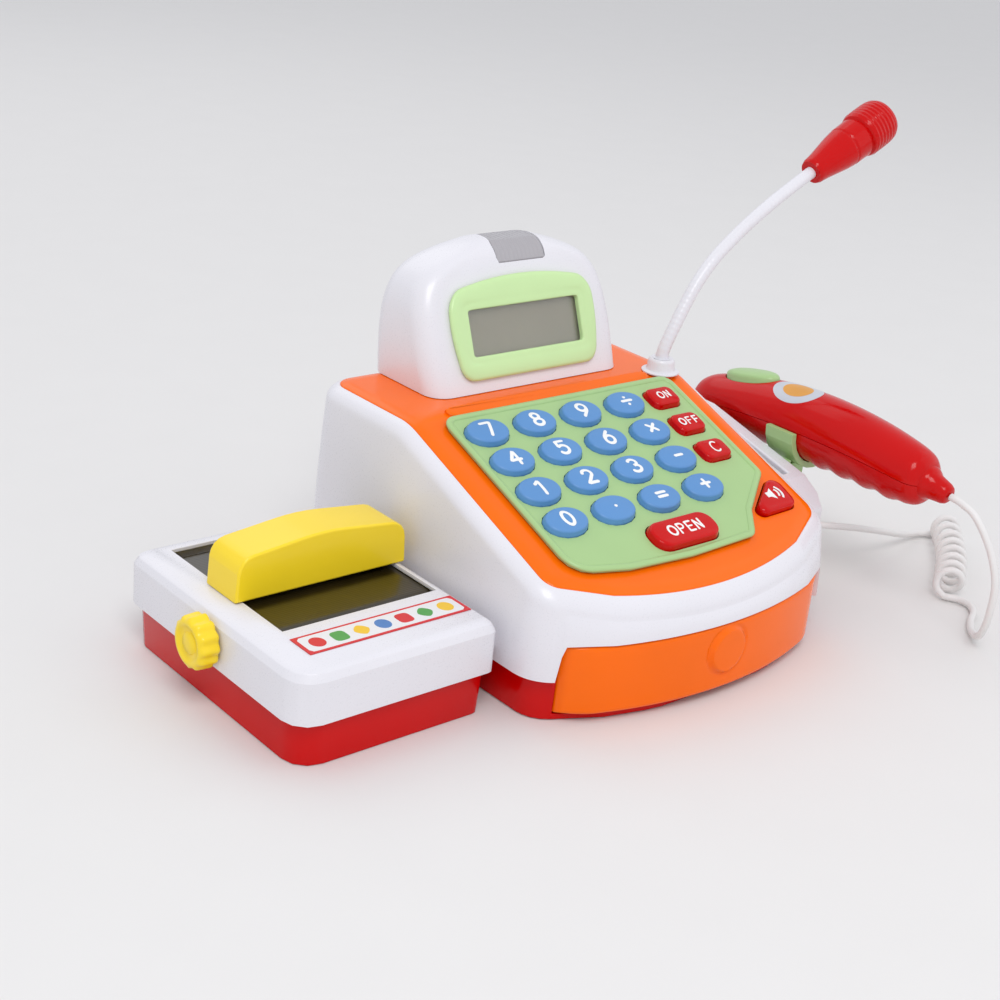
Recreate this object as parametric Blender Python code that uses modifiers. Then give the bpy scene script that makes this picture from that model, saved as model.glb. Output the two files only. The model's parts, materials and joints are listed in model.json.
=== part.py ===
"""Toy cash register with a conveyor, a card reader, a hand scanner and a gooseneck microphone.

Metres, +Z up.  The origin is on the register's underside, on its symmetry plane.
X runs to the customer's right, Y to the back.  Sizes are named in millimetres times MM.
"""
import math

import bmesh
import bpy
from mathutils import Matrix, Vector

MM = 0.001
GAP = 0.3 * MM                      # clearance between neighbouring moulded pieces
WALL = 2.4 * MM                     # wall of the big mouldings
THIN = 2.0 * MM                     # wall of the small mouldings

# ---- register body ----
HALF_WIDTH = 76.5 * MM              # at deck height, out to the side wall
FRONT_Y = -66.0 * MM                # middle of the bowed front
BACK_Y = 98.0 * MM
FRONT_BOW = 14.0 * MM               # how far the middle of the front stands out
DRAFT = 2.5 * MM                    # the side walls spread this much towards the bottom
CORNER_R = 14.0 * MM
SKIRT_Z = 17.0 * MM                 # lower edge of the white shell, top of the red tray
DECK_SLOPE = math.radians(20.8)
KEY_TOP_Z = 74.0 * MM               # height of the key tops over the origin
PLATEAU_Z = 84.5 * MM               # flat deck at the back
DECK_DROP = 5.0 * MM                # deck surface below the key tops, along the normal
DECK_THICK = 2.5 * MM
DECK_INSET = 2.2 * MM               # the deck's edge stands in from the shell's outer face

# ---- keypad, in the sloping panel's own frame ----
PANEL_HALF = HALF_WIDTH - 17.0 * MM
PANEL_BACK = 37.5 * MM
PANEL_FRONT = -54.0 * MM
PANEL_THICK = 2.0 * MM
PANEL_LAP = 1.6 * MM                # how far the panel laps over the deck's opening
KEY_PITCH_X = 24.0 * MM
KEY_PITCH_S = 17.0 * MM
KEY_GRID_X = -11.0 * MM             # middle of the sixteen keys
KEY_HALF_X = 9.7 * MM
KEY_HALF_S = 7.0 * MM
KEY_HOLE_GAP = 0.4 * MM
KEY_FLANGE = 0.8 * MM               # flange under the panel, past the key's side
SIDE_BUTTON_X = 46.0 * MM
SIDE_BUTTON_HALF = (7.6 * MM, 5.6 * MM)
OPEN_X = -2.0 * MM
OPEN_S = -43.5 * MM
OPEN_HALF = (16.5 * MM, 6.8 * MM)
VOLUME_X = PANEL_HALF - 4.5 * MM
VOLUME_S = -37.0 * MM
BOARD_THICK = 1.6 * MM
BOARD_DROP = 5.1 * MM               # board's bosses below the deck's surface
MEMBRANE_THICK = 1.5 * MM

# ---- drawer ----
DRAWER_HALF = 68.0 * MM             # half the width of the opening in the front
DRAWER_TOP = 31.0 * MM
DRAWER_LOW = 3.0 * MM
DRAWER_BACK = 40.0 * MM
TRAY_HALF = 60.0 * MM
TRAY_TOP = 26.0 * MM

# ---- display hood ----
HOOD_FRONT_Y = 53.0 * MM
HOOD_LEAN = math.radians(22.0)
HOOD_CORNER = 8.5 * MM
HOOD_LAYERS = ((0.0, 50.0, 0.0, 97.0), (15.0, 50.8, 0.0, 97.0), (27.0, 50.3, 0.0, 97.0),
               (35.0, 48.6, 0.0, 96.4), (41.0, 45.6, 0.0, 95.5), (46.0, 40.0, 0.0, 94.0),
               (50.0, 30.5, 0.8, 92.0), (53.6, 17.0, 3.6, 88.5))   # up, half width, set back, back Y
LAMP_X = 4.0 * MM
WINDOW_HALF = 29.0 * MM
WINDOW_LOW = 14.5 * MM
WINDOW_HIGH = 33.0 * MM
LAMP_HALF = 12.5 * MM
LAMP_FRONT_Y = 72.0 * MM
LAMP_BACK_Y = 90.0 * MM
LAMP_Z = 122.0 * MM                 # lower edge of the lamp's opening, behind the face

# ---- microphone ----
MIC_X = 62.5 * MM
MIC_Y = 42.5 * MM
STALK_R = 2.75 * MM
SOCKET_R = 8.0 * MM
SOCKET_H = 6.0 * MM
MIC_LENGTH = 50.0 * MM

# ---- card reader and cradle ----
READER_LOW_X = HALF_WIDTH + DRAFT + GAP
READER_WIDTH = 18.7 * MM
READER_HIGH_X = READER_LOW_X + READER_WIDTH
READER_FRONT_Y = -27.0 * MM
READER_BACK_Y = 84.0 * MM
READER_DROP = 9.0 * MM              # its top below the deck line
SLOT_X = READER_HIGH_X - 8.5 * MM
SLOT_WIDTH = 3.0 * MM
SLOT_DEPTH = 24.0 * MM
CRADLE_THICK = 2.6 * MM
SADDLE_WIDTH = 15.0 * MM
SADDLE_YS = (48.0 * MM, 3.0 * MM)
PLATE_LOW = 38.0 * MM
PLATE_HIGH = 54.0 * MM

# ---- hand scanner, lying along Y ----
SCAN_X = READER_HIGH_X + 18.2 * MM
SCAN_Z = 66.0 * MM                  # the body's axis at the top of its bow
SCAN_BOW = 5.0 * MM                 # the axis drops this much at SCAN_BOW_REACH
SCAN_BOW_REACH = 62.0 * MM
SCAN_BOW_Y = -10.0 * MM
SCAN_PROFILE = ((64.0, 6.8), (61.5, 9.0), (56.0, 10.9), (46.0, 12.2), (32.0, 13.5), (18.0, 14.4),
                (5.0, 14.8), (-12.0, 14.8), (-30.0, 14.2), (-45.0, 13.2), (-57.0, 11.8), (-61.5, 9.5),
                (-64.0, 5.0))        # Y and radius in mm, from the nose to the tail
SCAN_NOSE_Y = SCAN_PROFILE[0][0] * MM
SCAN_TAIL_Y = SCAN_PROFILE[-1][0] * MM
TRIGGER_Y = 34.0 * MM
TRIGGER_TILT = math.radians(-11.0)
TRIGGER_HALF = (6.5 * MM, 14.0 * MM)
SCAN_LENS_R = 6.0 * MM
BUSH_LENGTH = 9.0 * MM

# ---- cord ----
CORD_R = 1.1 * MM
COIL_R = 6.5 * MM
GLAND_Y = -14.0 * MM
GLAND_Z = 26.2 * MM

# ---- conveyor ----
BELT_BOX_RIGHT = -HALF_WIDTH - 7.5 * MM
BELT_BOX_WIDTH = 84.0 * MM
BELT_BOX_FRONT = -34.0 * MM
BELT_BOX_DEPTH = 112.0 * MM
BELT_BOX_TOP = 37.0 * MM
BELT_BOX_ROOF = 1.5 * MM
WINDOW_MARGIN = 4.5 * MM            # right rim beside the belt
BELT_WIDTH = 67.0 * MM
BELT_FRONT = -3.0 * MM
BELT_BACK = 71.0 * MM
BELT_THICK = 1.0 * MM
ROLLER_R = 6.0 * MM
SHAFT_R = 1.9 * MM
DRIVE_Y = 22.0 * MM
DRIVE_R = 4.5 * MM
KNOB_R = 10.0 * MM
KNOB_DEPTH = 8.0 * MM
TONGUE_YS = (-8.0 * MM, 42.0 * MM)  # two flat tongues hook the conveyor to the register
TONGUE_HALF = 7.0 * MM
TONGUE_LOW = 6.0 * MM
TONGUE_HIGH = 9.0 * MM
ARCH_FRONT = 21.0 * MM
ARCH_DEPTH = 20.0 * MM
ARCH_TOP = 55.0 * MM

for old in list(bpy.data.objects):
    bpy.data.objects.remove(old, do_unlink=True)

PARTS = bpy.data.collections.new("toy_cash_register")
CUTTERS = bpy.data.collections.new("cutters")
bpy.context.scene.collection.children.link(PARTS)
bpy.context.scene.collection.children.link(CUTTERS)


# ---- materials ----
def plastic(name, red, green, blue, roughness=0.3, metallic=0.0):
    """A Principled material in one moulded colour."""
    material = bpy.data.materials.new(name)
    material.use_nodes = True
    shader = material.node_tree.nodes["Principled BSDF"]
    shader.inputs["Base Color"].default_value = (red, green, blue, 1.0)
    shader.inputs["Roughness"].default_value = roughness
    shader.inputs["Metallic"].default_value = metallic
    return material


WHITE = plastic("white_abs", 0.87, 0.86, 0.90)
ORANGE = plastic("orange_abs", 1.0, 0.15, 0.0)
GREEN = plastic("green_abs", 0.40, 0.62, 0.25)
PALE_GREEN = plastic("pale_green_abs", 0.58, 0.80, 0.40)
BLUE = plastic("blue_abs", 0.11, 0.29, 0.60)
RED = plastic("red_abs", 0.62, 0.01, 0.01, 0.25)
YELLOW = plastic("yellow_abs", 1.0, 0.74, 0.02)
GREY = plastic("display_grey", 0.38, 0.37, 0.30, 0.2)
CLEAR = plastic("clear_styrene", 0.75, 0.75, 0.75, 0.1)
SMOKE = plastic("smoked_styrene", 0.35, 0.34, 0.34, 0.1)
BELT = plastic("dark_belt", 0.025, 0.018, 0.006, 0.6)
BOARD = plastic("circuit_board_resin", 0.35, 0.20, 0.07, 0.5)
RUBBER = plastic("grey_silicone", 0.5, 0.5, 0.5, 0.7)
DARK = plastic("dark_paper_cone", 0.03, 0.03, 0.03, 0.7)
PVC = plastic("white_pvc", 0.80, 0.76, 0.76, 0.4)


# ---- shapes ----
def add_mesh(name, mesh, material, place=None):
    """Link a mesh as a part, moved into place, with outward faces."""
    if place is not None:
        mesh.transform(place)
    shape = bmesh.new()
    shape.from_mesh(mesh)
    bmesh.ops.remove_doubles(shape, verts=shape.verts, dist=1e-7)
    bmesh.ops.recalc_face_normals(shape, faces=shape.faces)
    shape.to_mesh(mesh)
    shape.free()
    part = bpy.data.objects.new(name, mesh)
    PARTS.objects.link(part)
    if material is not None:
        mesh.materials.clear()
        mesh.materials.append(material)
    return part


def rounded(corners, steps=3):
    """Outline through corners (x, y, radius), each corner turned as an arc."""
    points = []
    count = len(corners)
    for i, (x, y, radius) in enumerate(corners):
        here = Vector((x, y))
        before = (Vector(corners[i - 1][:2]) - here)
        after = (Vector(corners[(i + 1) % count][:2]) - here)
        if radius <= 0.0:
            points.append((x, y))
            continue
        a, b = before.normalized(), after.normalized()
        half = math.acos(max(-1.0, min(1.0, a.dot(b)))) / 2.0
        reach = min(radius / math.tan(half), 0.49 * before.length, 0.49 * after.length)
        radius = reach * math.tan(half)
        centre = here + (a + b).normalized() * (radius / math.sin(half))
        start = here + a * reach - centre
        turn = start.angle_signed(here + b * reach - centre)
        for k in range(steps + 1):
            angle = -turn * k / steps
            c, s = math.cos(angle), math.sin(angle)
            points.append((centre.x + start.x * c - start.y * s,
                           centre.y + start.x * s + start.y * c))
    return points


def ellipse(half_x, half_y, steps=16, x=0.0, y=0.0):
    """Outline of an ellipse round (x, y)."""
    return [(x + half_x * math.cos(2 * math.pi * k / steps),
             y + half_y * math.sin(2 * math.pi * k / steps)) for k in range(steps)]


def slab(half_x, half_y, radius, x=0.0, y=0.0, steps=3):
    """Outline of a rounded rectangle round (x, y)."""
    return rounded([(x - half_x, y - half_y, radius), (x + half_x, y - half_y, radius),
                    (x + half_x, y + half_y, radius), (x - half_x, y + half_y, radius)], steps)


def prism(name, outlines, low, high, material=None, place=None):
    """A flat outline with its holes as a filled 2D curve, from low to high."""
    curve = bpy.data.curves.new(name, "CURVE")
    curve.dimensions = "2D"
    curve.fill_mode = "BOTH"
    curve.extrude = (high - low) / 2
    for outline in outlines:
        spline = curve.splines.new("POLY")
        spline.points.add(len(outline) - 1)
        spline.use_cyclic_u = True
        for point, (x, y) in zip(spline.points, outline):
            point.co = (x, y, 0.0, 1.0)
    holder = bpy.data.objects.new(name, curve)
    bpy.context.scene.collection.objects.link(holder)
    bpy.context.view_layer.update()
    mesh = bpy.data.meshes.new_from_object(holder.evaluated_get(bpy.context.evaluated_depsgraph_get()))
    bpy.data.objects.remove(holder, do_unlink=True)
    bpy.data.curves.remove(curve)
    mesh.name = name
    lift = Matrix.Translation((0, 0, (low + high) / 2))
    return add_mesh(name, mesh, material, (place or Matrix()) @ lift)


def stack(name, outline_at, layers, material=None, place=None):
    """A loft through one outline at several heights, layers being (height, growth)."""
    shape = bmesh.new()
    rings = []
    for height, growth in layers:
        rings.append([shape.verts.new((x, y, height)) for x, y in outline_at(growth)])
    for lower, upper in zip(rings, rings[1:]):
        for i in range(len(lower)):
            j = (i + 1) % len(lower)
            shape.faces.new((lower[i], lower[j], upper[j], upper[i]))
    shape.faces.new(rings[0][::-1])
    shape.faces.new(rings[-1])
    mesh = bpy.data.meshes.new(name)
    shape.to_mesh(mesh)
    shape.free()
    return add_mesh(name, mesh, material, place)


def block(name, low, high, material=None):
    """A box from its lowest to its highest corner."""
    shape = bmesh.new()
    bmesh.ops.create_cube(shape, size=1.0)
    size = [b - a for a, b in zip(low, high)]
    middle = [(a + b) / 2 for a, b in zip(low, high)]
    bmesh.ops.scale(shape, verts=shape.verts, vec=size)
    bmesh.ops.translate(shape, verts=shape.verts, vec=middle)
    mesh = bpy.data.meshes.new(name)
    shape.to_mesh(mesh)
    shape.free()
    return add_mesh(name, mesh, material)


def turned(name, profile, place, material=None, steps=20):
    """A turned piece: profile points (radius, height), from the top axis down to the bottom one."""
    mesh = bpy.data.meshes.new(name)
    points = [(radius, 0.0, height) for radius, height in profile]
    mesh.from_pydata(points, [(i, i + 1) for i in range(len(points) - 1)], [])
    holder = bpy.data.objects.new(name, mesh)
    bpy.context.scene.collection.objects.link(holder)
    screw = holder.modifiers.new("turn", "SCREW")
    screw.steps = steps
    screw.render_steps = steps
    screw.use_merge_vertices = True
    screw.merge_threshold = 1e-5
    bpy.context.view_layer.update()
    solid = bpy.data.meshes.new_from_object(holder.evaluated_get(bpy.context.evaluated_depsgraph_get()))
    bpy.data.objects.remove(holder, do_unlink=True)
    bpy.data.meshes.remove(mesh)
    solid.name = name
    return add_mesh(name, solid, material, place)


def combine(part, tool, operation):
    """Cut, join or intersect a part with a tool, which becomes a hidden cutter."""
    PARTS.objects.unlink(tool)
    CUTTERS.objects.link(tool)
    tool.hide_render = True
    tool.display_type = "WIRE"
    modifier = part.modifiers.new(tool.name, "BOOLEAN")
    modifier.solver = "EXACT"
    modifier.operation = operation
    modifier.object = tool
    return part


def cut(part, tool):
    return combine(part, tool, "DIFFERENCE")


def join(part, tool):
    return combine(part, tool, "UNION")


def keep_inside(part, tool):
    return combine(part, tool, "INTERSECT")


def smooth(part, angle=40.0):
    """Shade a round piece smooth, with its real edges sharp."""
    part.data.shade_smooth()
    part.data.set_sharp_from_angle(angle=math.radians(angle))
    return part


def seat(part, origin):
    """Move a part's origin to a point on its joint's axis, leaving its shape in place."""
    part.data.transform(Matrix.Translation(-Vector(origin)))
    part.location = origin


def flowing(route, spacing):
    """Points at an even spacing along a smooth curve through the route's points."""
    route = [Vector(p) for p in route]
    ends = [2 * route[0] - route[1]] + route + [2 * route[-1] - route[-2]]
    fine = []
    for a, b, c, d in zip(ends, ends[1:], ends[2:], ends[3:]):
        for k in range(24):
            t = k / 24
            fine.append(0.5 * (2 * b + (c - a) * t + (2 * a - 5 * b + 4 * c - d) * t * t
                               + (3 * b - a - 3 * c + d) * t ** 3))
    fine.append(route[-1])
    lengths = [0.0]
    for p, q in zip(fine, fine[1:]):
        lengths.append(lengths[-1] + (q - p).length)
    count = max(2, round(lengths[-1] / spacing))
    points = []
    i = 0
    for k in range(count + 1):
        target = lengths[-1] * k / count
        while i < len(fine) - 2 and lengths[i + 1] < target:
            i += 1
        step = lengths[i + 1] - lengths[i]
        points.append(fine[i].lerp(fine[i + 1], (target - lengths[i]) / step))
    return points


def tube(name, points, radius, material, resolution=2):
    """A round tube with closed ends along a run of points."""
    curve = bpy.data.curves.new(name, "CURVE")
    curve.dimensions = "3D"
    curve.bevel_depth = radius
    curve.bevel_resolution = resolution
    curve.use_fill_caps = True
    spline = curve.splines.new("POLY")
    spline.points.add(len(points) - 1)
    for point, place in zip(spline.points, points):
        point.co = (*place, 1.0)
    part = bpy.data.objects.new(name, curve)
    curve.materials.append(material)
    PARTS.objects.link(part)
    return part


# frames that shapes are drawn in
ACROSS = Matrix(((0, 0, 1, 0), (1, 0, 0, 0), (0, 1, 0, 0), (0, 0, 0, 1)))      # drawn (y, z), along X
UPRIGHT = Matrix(((1, 0, 0, 0), (0, 0, -1, 0), (0, 1, 0, 0), (0, 0, 0, 1)))    # drawn (x, z), along -Y
PANEL = Matrix.Translation((0, 0, KEY_TOP_Z)) @ Matrix.Rotation(DECK_SLOPE, 4, "X")
ALONG_X = Matrix.Rotation(math.radians(90), 4, "Y")
ALONG_Y = Matrix.Rotation(math.radians(-90), 4, "X")
FAR = 300.0 * MM


def deck_height(y, drop=0.0):
    """Height of the sloping deck, lowered along its normal by drop."""
    slope = KEY_TOP_Z + math.tan(DECK_SLOPE) * y - (DECK_DROP + drop) / math.cos(DECK_SLOPE)
    return min(slope, PLATEAU_Z - drop)


def deck_line(drop):
    """Side view of the deck from front to back: a slope, a short curve and a level."""
    bend = (PLATEAU_Z - KEY_TOP_Z + DECK_DROP / math.cos(DECK_SLOPE)) / math.tan(DECK_SLOPE)
    ys = [-FAR, bend - 12 * MM, bend - 4 * MM, bend + 5 * MM, FAR]
    sags = [0.0, 0.0, 0.45 * MM, 0.15 * MM, 0.0]
    return [(y, deck_height(y, drop) - sag) for y, sag in zip(ys, sags)]


def body_outline(growth):
    """Plan of the register: straight sides, a bowed front and rounded corners."""
    half = HALF_WIDTH + growth
    front = FRONT_Y - growth
    chord = DRAWER_HALF
    radius = (chord ** 2 + FRONT_BOW ** 2) / (2 * FRONT_BOW)
    bow = []
    for k in range(-4, 5):
        x = (half - 0.62 * CORNER_R) * k / 4
        bow.append((x, front + radius - math.sqrt(radius ** 2 - x ** 2), 0.0))
    side_y = bow[0][1] + CORNER_R
    corners = bow[1:-1]
    right = [(half, side_y - 0.55 * CORNER_R, 0.9 * CORNER_R)]
    left = [(-half, side_y - 0.55 * CORNER_R, 0.9 * CORNER_R)]
    back = [(half, BACK_Y + growth, CORNER_R), (-half, BACK_Y + growth, CORNER_R)]
    return rounded(left + corners + right + back, 4)


# ---- white shell ----
def make_body_shell():
    shell = stack("body_shell", body_outline, [(SKIRT_Z, DRAFT), (PLATEAU_Z + 9 * MM, 0.0)], WHITE)
    cut(shell, stack("shell_inside", body_outline,
                     [(SKIRT_Z - 5 * MM, DRAFT - WALL), (PLATEAU_Z + 19 * MM, -WALL)]))
    above = deck_line(DECK_THICK + GAP) + [(FAR, FAR), (-FAR, FAR)]
    cut(shell, prism("shell_sky", [above], -FAR, FAR, place=ACROSS))
    cut(shell, block("drawer_mouth", (-DRAWER_HALF, FRONT_Y - 20 * MM, 0.0),
                     (DRAWER_HALF, FRONT_Y + FRONT_BOW + 22 * MM, DRAWER_TOP)))
    return shell


# ---- orange deck ----
def panel_outline(growth):
    """Plan of the keypad panel in its own frame, with its notch at the right front."""
    g = growth
    return rounded([(-PANEL_HALF - g, PANEL_BACK + g, 5 * MM),
                    (-PANEL_HALF - g, PANEL_FRONT + 7 * MM - g, 11 * MM),
                    (-36 * MM, PANEL_FRONT + 1.8 * MM - g, 0), (-5 * MM, PANEL_FRONT - g, 0),
                    (29 * MM + 0.4 * g, PANEL_FRONT + 1.2 * MM - g, 5 * MM),
                    (VOLUME_X - 17 * MM + 0.7 * g, -41 * MM - 0.7 * g, 7 * MM),
                    (PANEL_HALF + g, -24.5 * MM - 0.8 * g, 4 * MM), (PANEL_HALF + g, PANEL_BACK + g, 5 * MM)])


def volume_outline(growth):
    """A rounded triangle that points to the left front."""
    g = growth
    return rounded([(VOLUME_X + 9.5 * MM + g, VOLUME_S + 12.0 * MM + 1.9 * g, 4 * MM),
                    (VOLUME_X - 19.0 * MM - 3.0 * g, VOLUME_S - 8.5 * MM - 0.8 * g, 3 * MM),
                    (VOLUME_X + 8.0 * MM + g, VOLUME_S - 7.5 * MM - 1.1 * g, 4 * MM)])


def make_deck_panel():
    top = deck_line(0.0)
    band = top + deck_line(DECK_THICK)[::-1]
    deck = prism("deck_panel", [band], -FAR, FAR, ORANGE, ACROSS)
    keep_inside(deck, stack("deck_edge", body_outline,
                            [(SKIRT_Z, -DECK_INSET), (PLATEAU_Z + 9 * MM, -DECK_INSET)]))
    for x in (-1, 1):
        for s in (-22 * MM, 30 * MM):
            boss = prism("board_boss", [ellipse(3 * MM, 3 * MM, 8, x * (PANEL_HALF + 3 * MM), s)],
                         -DECK_DROP - BOARD_DROP, -DECK_DROP - 1 * MM, place=PANEL)
            join(deck, boss)
    cut(deck, prism("keypad_opening", [panel_outline(-PANEL_LAP)], -14 * MM, 10 * MM, place=PANEL))
    cut(deck, stack("volume_opening", volume_outline,
                    [(-14 * MM, KEY_HOLE_GAP), (5 * MM, KEY_HOLE_GAP)], place=PANEL))
    cut(deck, block("wire_opening", (-30 * MM, 62 * MM, PLATEAU_Z - 9 * MM), (30 * MM, 90 * MM, FAR)))
    return deck


# ---- keypad ----
def key_outline(growth):
    return ellipse(KEY_HALF_X + growth, KEY_HALF_S + growth, 16)


def side_button_outline(growth):
    return slab(SIDE_BUTTON_HALF[0] + growth, SIDE_BUTTON_HALF[1] + growth, 3.2 * MM + growth, steps=3)


def open_outline(growth):
    return slab(OPEN_HALF[0] + growth, OPEN_HALF[1] + growth, OPEN_HALF[1] * 0.85 + growth, steps=5)


PANEL_TOP = -DECK_DROP + GAP + PANEL_THICK          # in the panel's frame, key tops at 0
FLANGE_TOP = PANEL_TOP - PANEL_THICK - GAP
FLANGE_THICK = 1.3 * MM
KEY_ROWS = (("key_7", "key_8", "key_9", "key_divide"),
            ("key_4", "key_5", "key_6", "key_times"),
            ("key_1", "key_2", "key_3", "key_minus"),
            ("key_0", "key_point", "key_equals", "key_plus"))
SIDE_BUTTONS = ("button_on", "button_off", "button_clear")


def key_places():
    """Each key's name and its middle in the panel's frame."""
    for row, names in enumerate(KEY_ROWS):
        for column, name in enumerate(names):
            yield name, KEY_GRID_X + (column - 1.5) * KEY_PITCH_X, (1.5 - row) * KEY_PITCH_S


def side_places():
    """Each side button's name and its middle in the panel's frame."""
    for row, name in enumerate(SIDE_BUTTONS):
        yield name, SIDE_BUTTON_X, (1.5 - row) * (KEY_PITCH_S - 0.3 * MM)


def pressed_button(name, outline_at, x, s, top, flange_top, material):
    """A button with a domed top and a flange that holds it under its panel."""
    layers = [(flange_top - FLANGE_THICK, KEY_FLANGE), (flange_top, KEY_FLANGE), (flange_top, 0.0),
              (top - 1.4 * MM, 0.0), (top - 0.4 * MM, -0.8 * MM), (top, -2.6 * MM)]
    button = stack(name, outline_at, layers, material, PANEL @ Matrix.Translation((x, s, 0)))
    seat(button, PANEL @ Vector((x, s, top)))
    return smooth(button, 50)


def make_keypad():
    outlines = [panel_outline(0.0)]
    for _, x, s in key_places():
        outlines.append(ellipse(KEY_HALF_X + KEY_HOLE_GAP, KEY_HALF_S + KEY_HOLE_GAP, 16, x, s))
    for _, x, s in side_places():
        outlines.append([(x + u, s + v) for u, v in side_button_outline(KEY_HOLE_GAP)])
    outlines.append([(OPEN_X + u, OPEN_S + v) for u, v in open_outline(KEY_HOLE_GAP)])
    prism("keypad_panel", outlines, PANEL_TOP - PANEL_THICK, PANEL_TOP, GREEN, PANEL)
    for name, x, s in key_places():
        pressed_button(name, key_outline, x, s, 0.0, FLANGE_TOP, BLUE)
    for name, x, s in side_places():
        pressed_button(name, side_button_outline, x, s, 0.0, FLANGE_TOP, RED)
    pressed_button("button_open", open_outline, OPEN_X, OPEN_S, 0.3 * MM, FLANGE_TOP, RED)
    deck_under = -DECK_DROP - DECK_THICK - GAP
    volume = stack("button_volume", volume_outline,
                   [(deck_under - FLANGE_THICK, KEY_FLANGE), (deck_under, KEY_FLANGE), (deck_under, 0.0),
                    (-DECK_DROP + 1.6 * MM, 0.0), (-DECK_DROP + 2.8 * MM, -1.0 * MM)], RED, PANEL)
    seat(volume, PANEL @ Vector((VOLUME_X, VOLUME_S, -DECK_DROP)))
    smooth(volume, 50)


def make_board():
    """The silicone switch mat on its circuit board, which hangs on the deck's bosses."""
    board_top = -DECK_DROP - BOARD_DROP - GAP
    prism("circuit_board", [slab(66 * MM, 35.5 * MM, 2 * MM, 0, 1 * MM)], board_top - BOARD_THICK,
          board_top, BOARD, PANEL)
    prism("key_membrane", [slab(52 * MM, 33 * MM, 3 * MM, -2 * MM, 2 * MM)], board_top + GAP,
          board_top + GAP + MEMBRANE_THICK, RUBBER, PANEL)


# ---- red bottom tray, drawer and battery cover ----
BATTERY_HALF = 31.0 * MM
BATTERY_FRONT = 50.0 * MM
BATTERY_BACK = 88.0 * MM
FLOOR = 2.4 * MM
BASE_INSET = 2.9 * MM               # the tray's wall stands in under the shell's edge


def make_base_tray():
    tray = stack("base_tray", body_outline, [(0.0, DRAFT - BASE_INSET - 0.5 * MM),
                                             (SKIRT_Z - GAP, DRAFT - BASE_INSET)], RED)
    cut(tray, stack("base_inside", body_outline, [(FLOOR, DRAFT - BASE_INSET - WALL),
                                                  (SKIRT_Z + 20 * MM, DRAFT - BASE_INSET - WALL)]))
    cut(tray, block("drawer_gate", (-DRAWER_HALF, FRONT_Y - 20 * MM, FLOOR),
                    (DRAWER_HALF, FRONT_Y + FRONT_BOW + 12 * MM, FAR)))
    cut(tray, block("front_sill", (-DRAWER_HALF, FRONT_Y - 20 * MM, -FAR),
                    (DRAWER_HALF, FRONT_Y + 3 * MM, FAR)))
    join(tray, block("battery_box", (-BATTERY_HALF - THIN, BATTERY_FRONT - THIN, FLOOR / 2),
                     (BATTERY_HALF + THIN, BATTERY_BACK + THIN, 20 * MM)))
    cut(tray, block("battery_space", (-BATTERY_HALF, BATTERY_FRONT, -FAR),
                    (BATTERY_HALF, BATTERY_BACK, 18 * MM)))
    for side in (-1, 1):
        inner, outer = side * (TRAY_HALF + GAP), side * (TRAY_HALF + GAP + THIN)
        join(tray, block("drawer_runner", (min(inner, outer), -44 * MM, FLOOR / 2),
                         (max(inner, outer), DRAWER_BACK, 14 * MM)))
    for y in TONGUE_YS:
        cut(tray, block("tongue_slot", (-FAR, y - TONGUE_HALF - GAP, TONGUE_LOW - GAP),
                        (-HALF_WIDTH + 10 * MM, y + TONGUE_HALF + GAP, TONGUE_HIGH + GAP)))
    join(tray, block("latch_post", (-5 * MM, DRAWER_BACK + 4 * MM, FLOOR / 2),
                     (5 * MM, DRAWER_BACK + 7 * MM, 10 * MM)))
    return tray


def make_battery_cover():
    return block("battery_cover", (-BATTERY_HALF + GAP, BATTERY_FRONT + GAP, 0.0),
                 (BATTERY_HALF - GAP, BATTERY_BACK - GAP, THIN), RED)


def make_drawer():
    """The sliding tray, its bowed front and the latch that holds it shut."""
    low, wall = FLOOR + GAP, THIN
    back_face = FRONT_Y + FRONT_BOW + 6 * MM
    tray = block("drawer_tray", (-TRAY_HALF, back_face, low), (TRAY_HALF, DRAWER_BACK, TRAY_TOP), ORANGE)
    for left, right in ((-TRAY_HALF + wall, -wall / 2), (wall / 2, TRAY_HALF - wall)):
        cut(tray, block("drawer_space", (left, back_face + wall, low + wall),
                        (right, DRAWER_BACK - wall, FAR)))
    seat(tray, (0, back_face, low))
    front = stack("drawer_front", body_outline, [(DRAWER_LOW, DRAFT), (DRAWER_TOP - GAP, DRAFT - 0.4 * MM)],
                  ORANGE)
    keep_inside(front, block("front_width", (-DRAWER_HALF + GAP, -FAR, -FAR),
                             (DRAWER_HALF - GAP, back_face - GAP, FAR)))
    cut(front, stack("front_back", body_outline, [(DRAWER_LOW + 2.5 * MM, DRAFT - 2.8 * MM),
                                                  (DRAWER_TOP - 2.8 * MM, DRAFT - 2.8 * MM)]))
    join(front, block("front_stem", (-20 * MM, FRONT_Y + 1 * MM, 12 * MM),
                      (20 * MM, back_face - GAP, 20 * MM)))
    latch = block("drawer_latch", (-4 * MM, DRAWER_BACK + GAP, 10 * MM + GAP),
                  (4 * MM, DRAWER_BACK + 7 * MM, 16 * MM), WHITE)
    return tray, front, latch


# ---- display hood ----
HOOD_FACE = Matrix(((1, 0, 0, 0),
                    (0, math.sin(HOOD_LEAN), -math.cos(HOOD_LEAN), HOOD_FRONT_Y),
                    (0, math.cos(HOOD_LEAN), math.sin(HOOD_LEAN), PLATEAU_Z),
                    (0, 0, 0, 1)))


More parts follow.
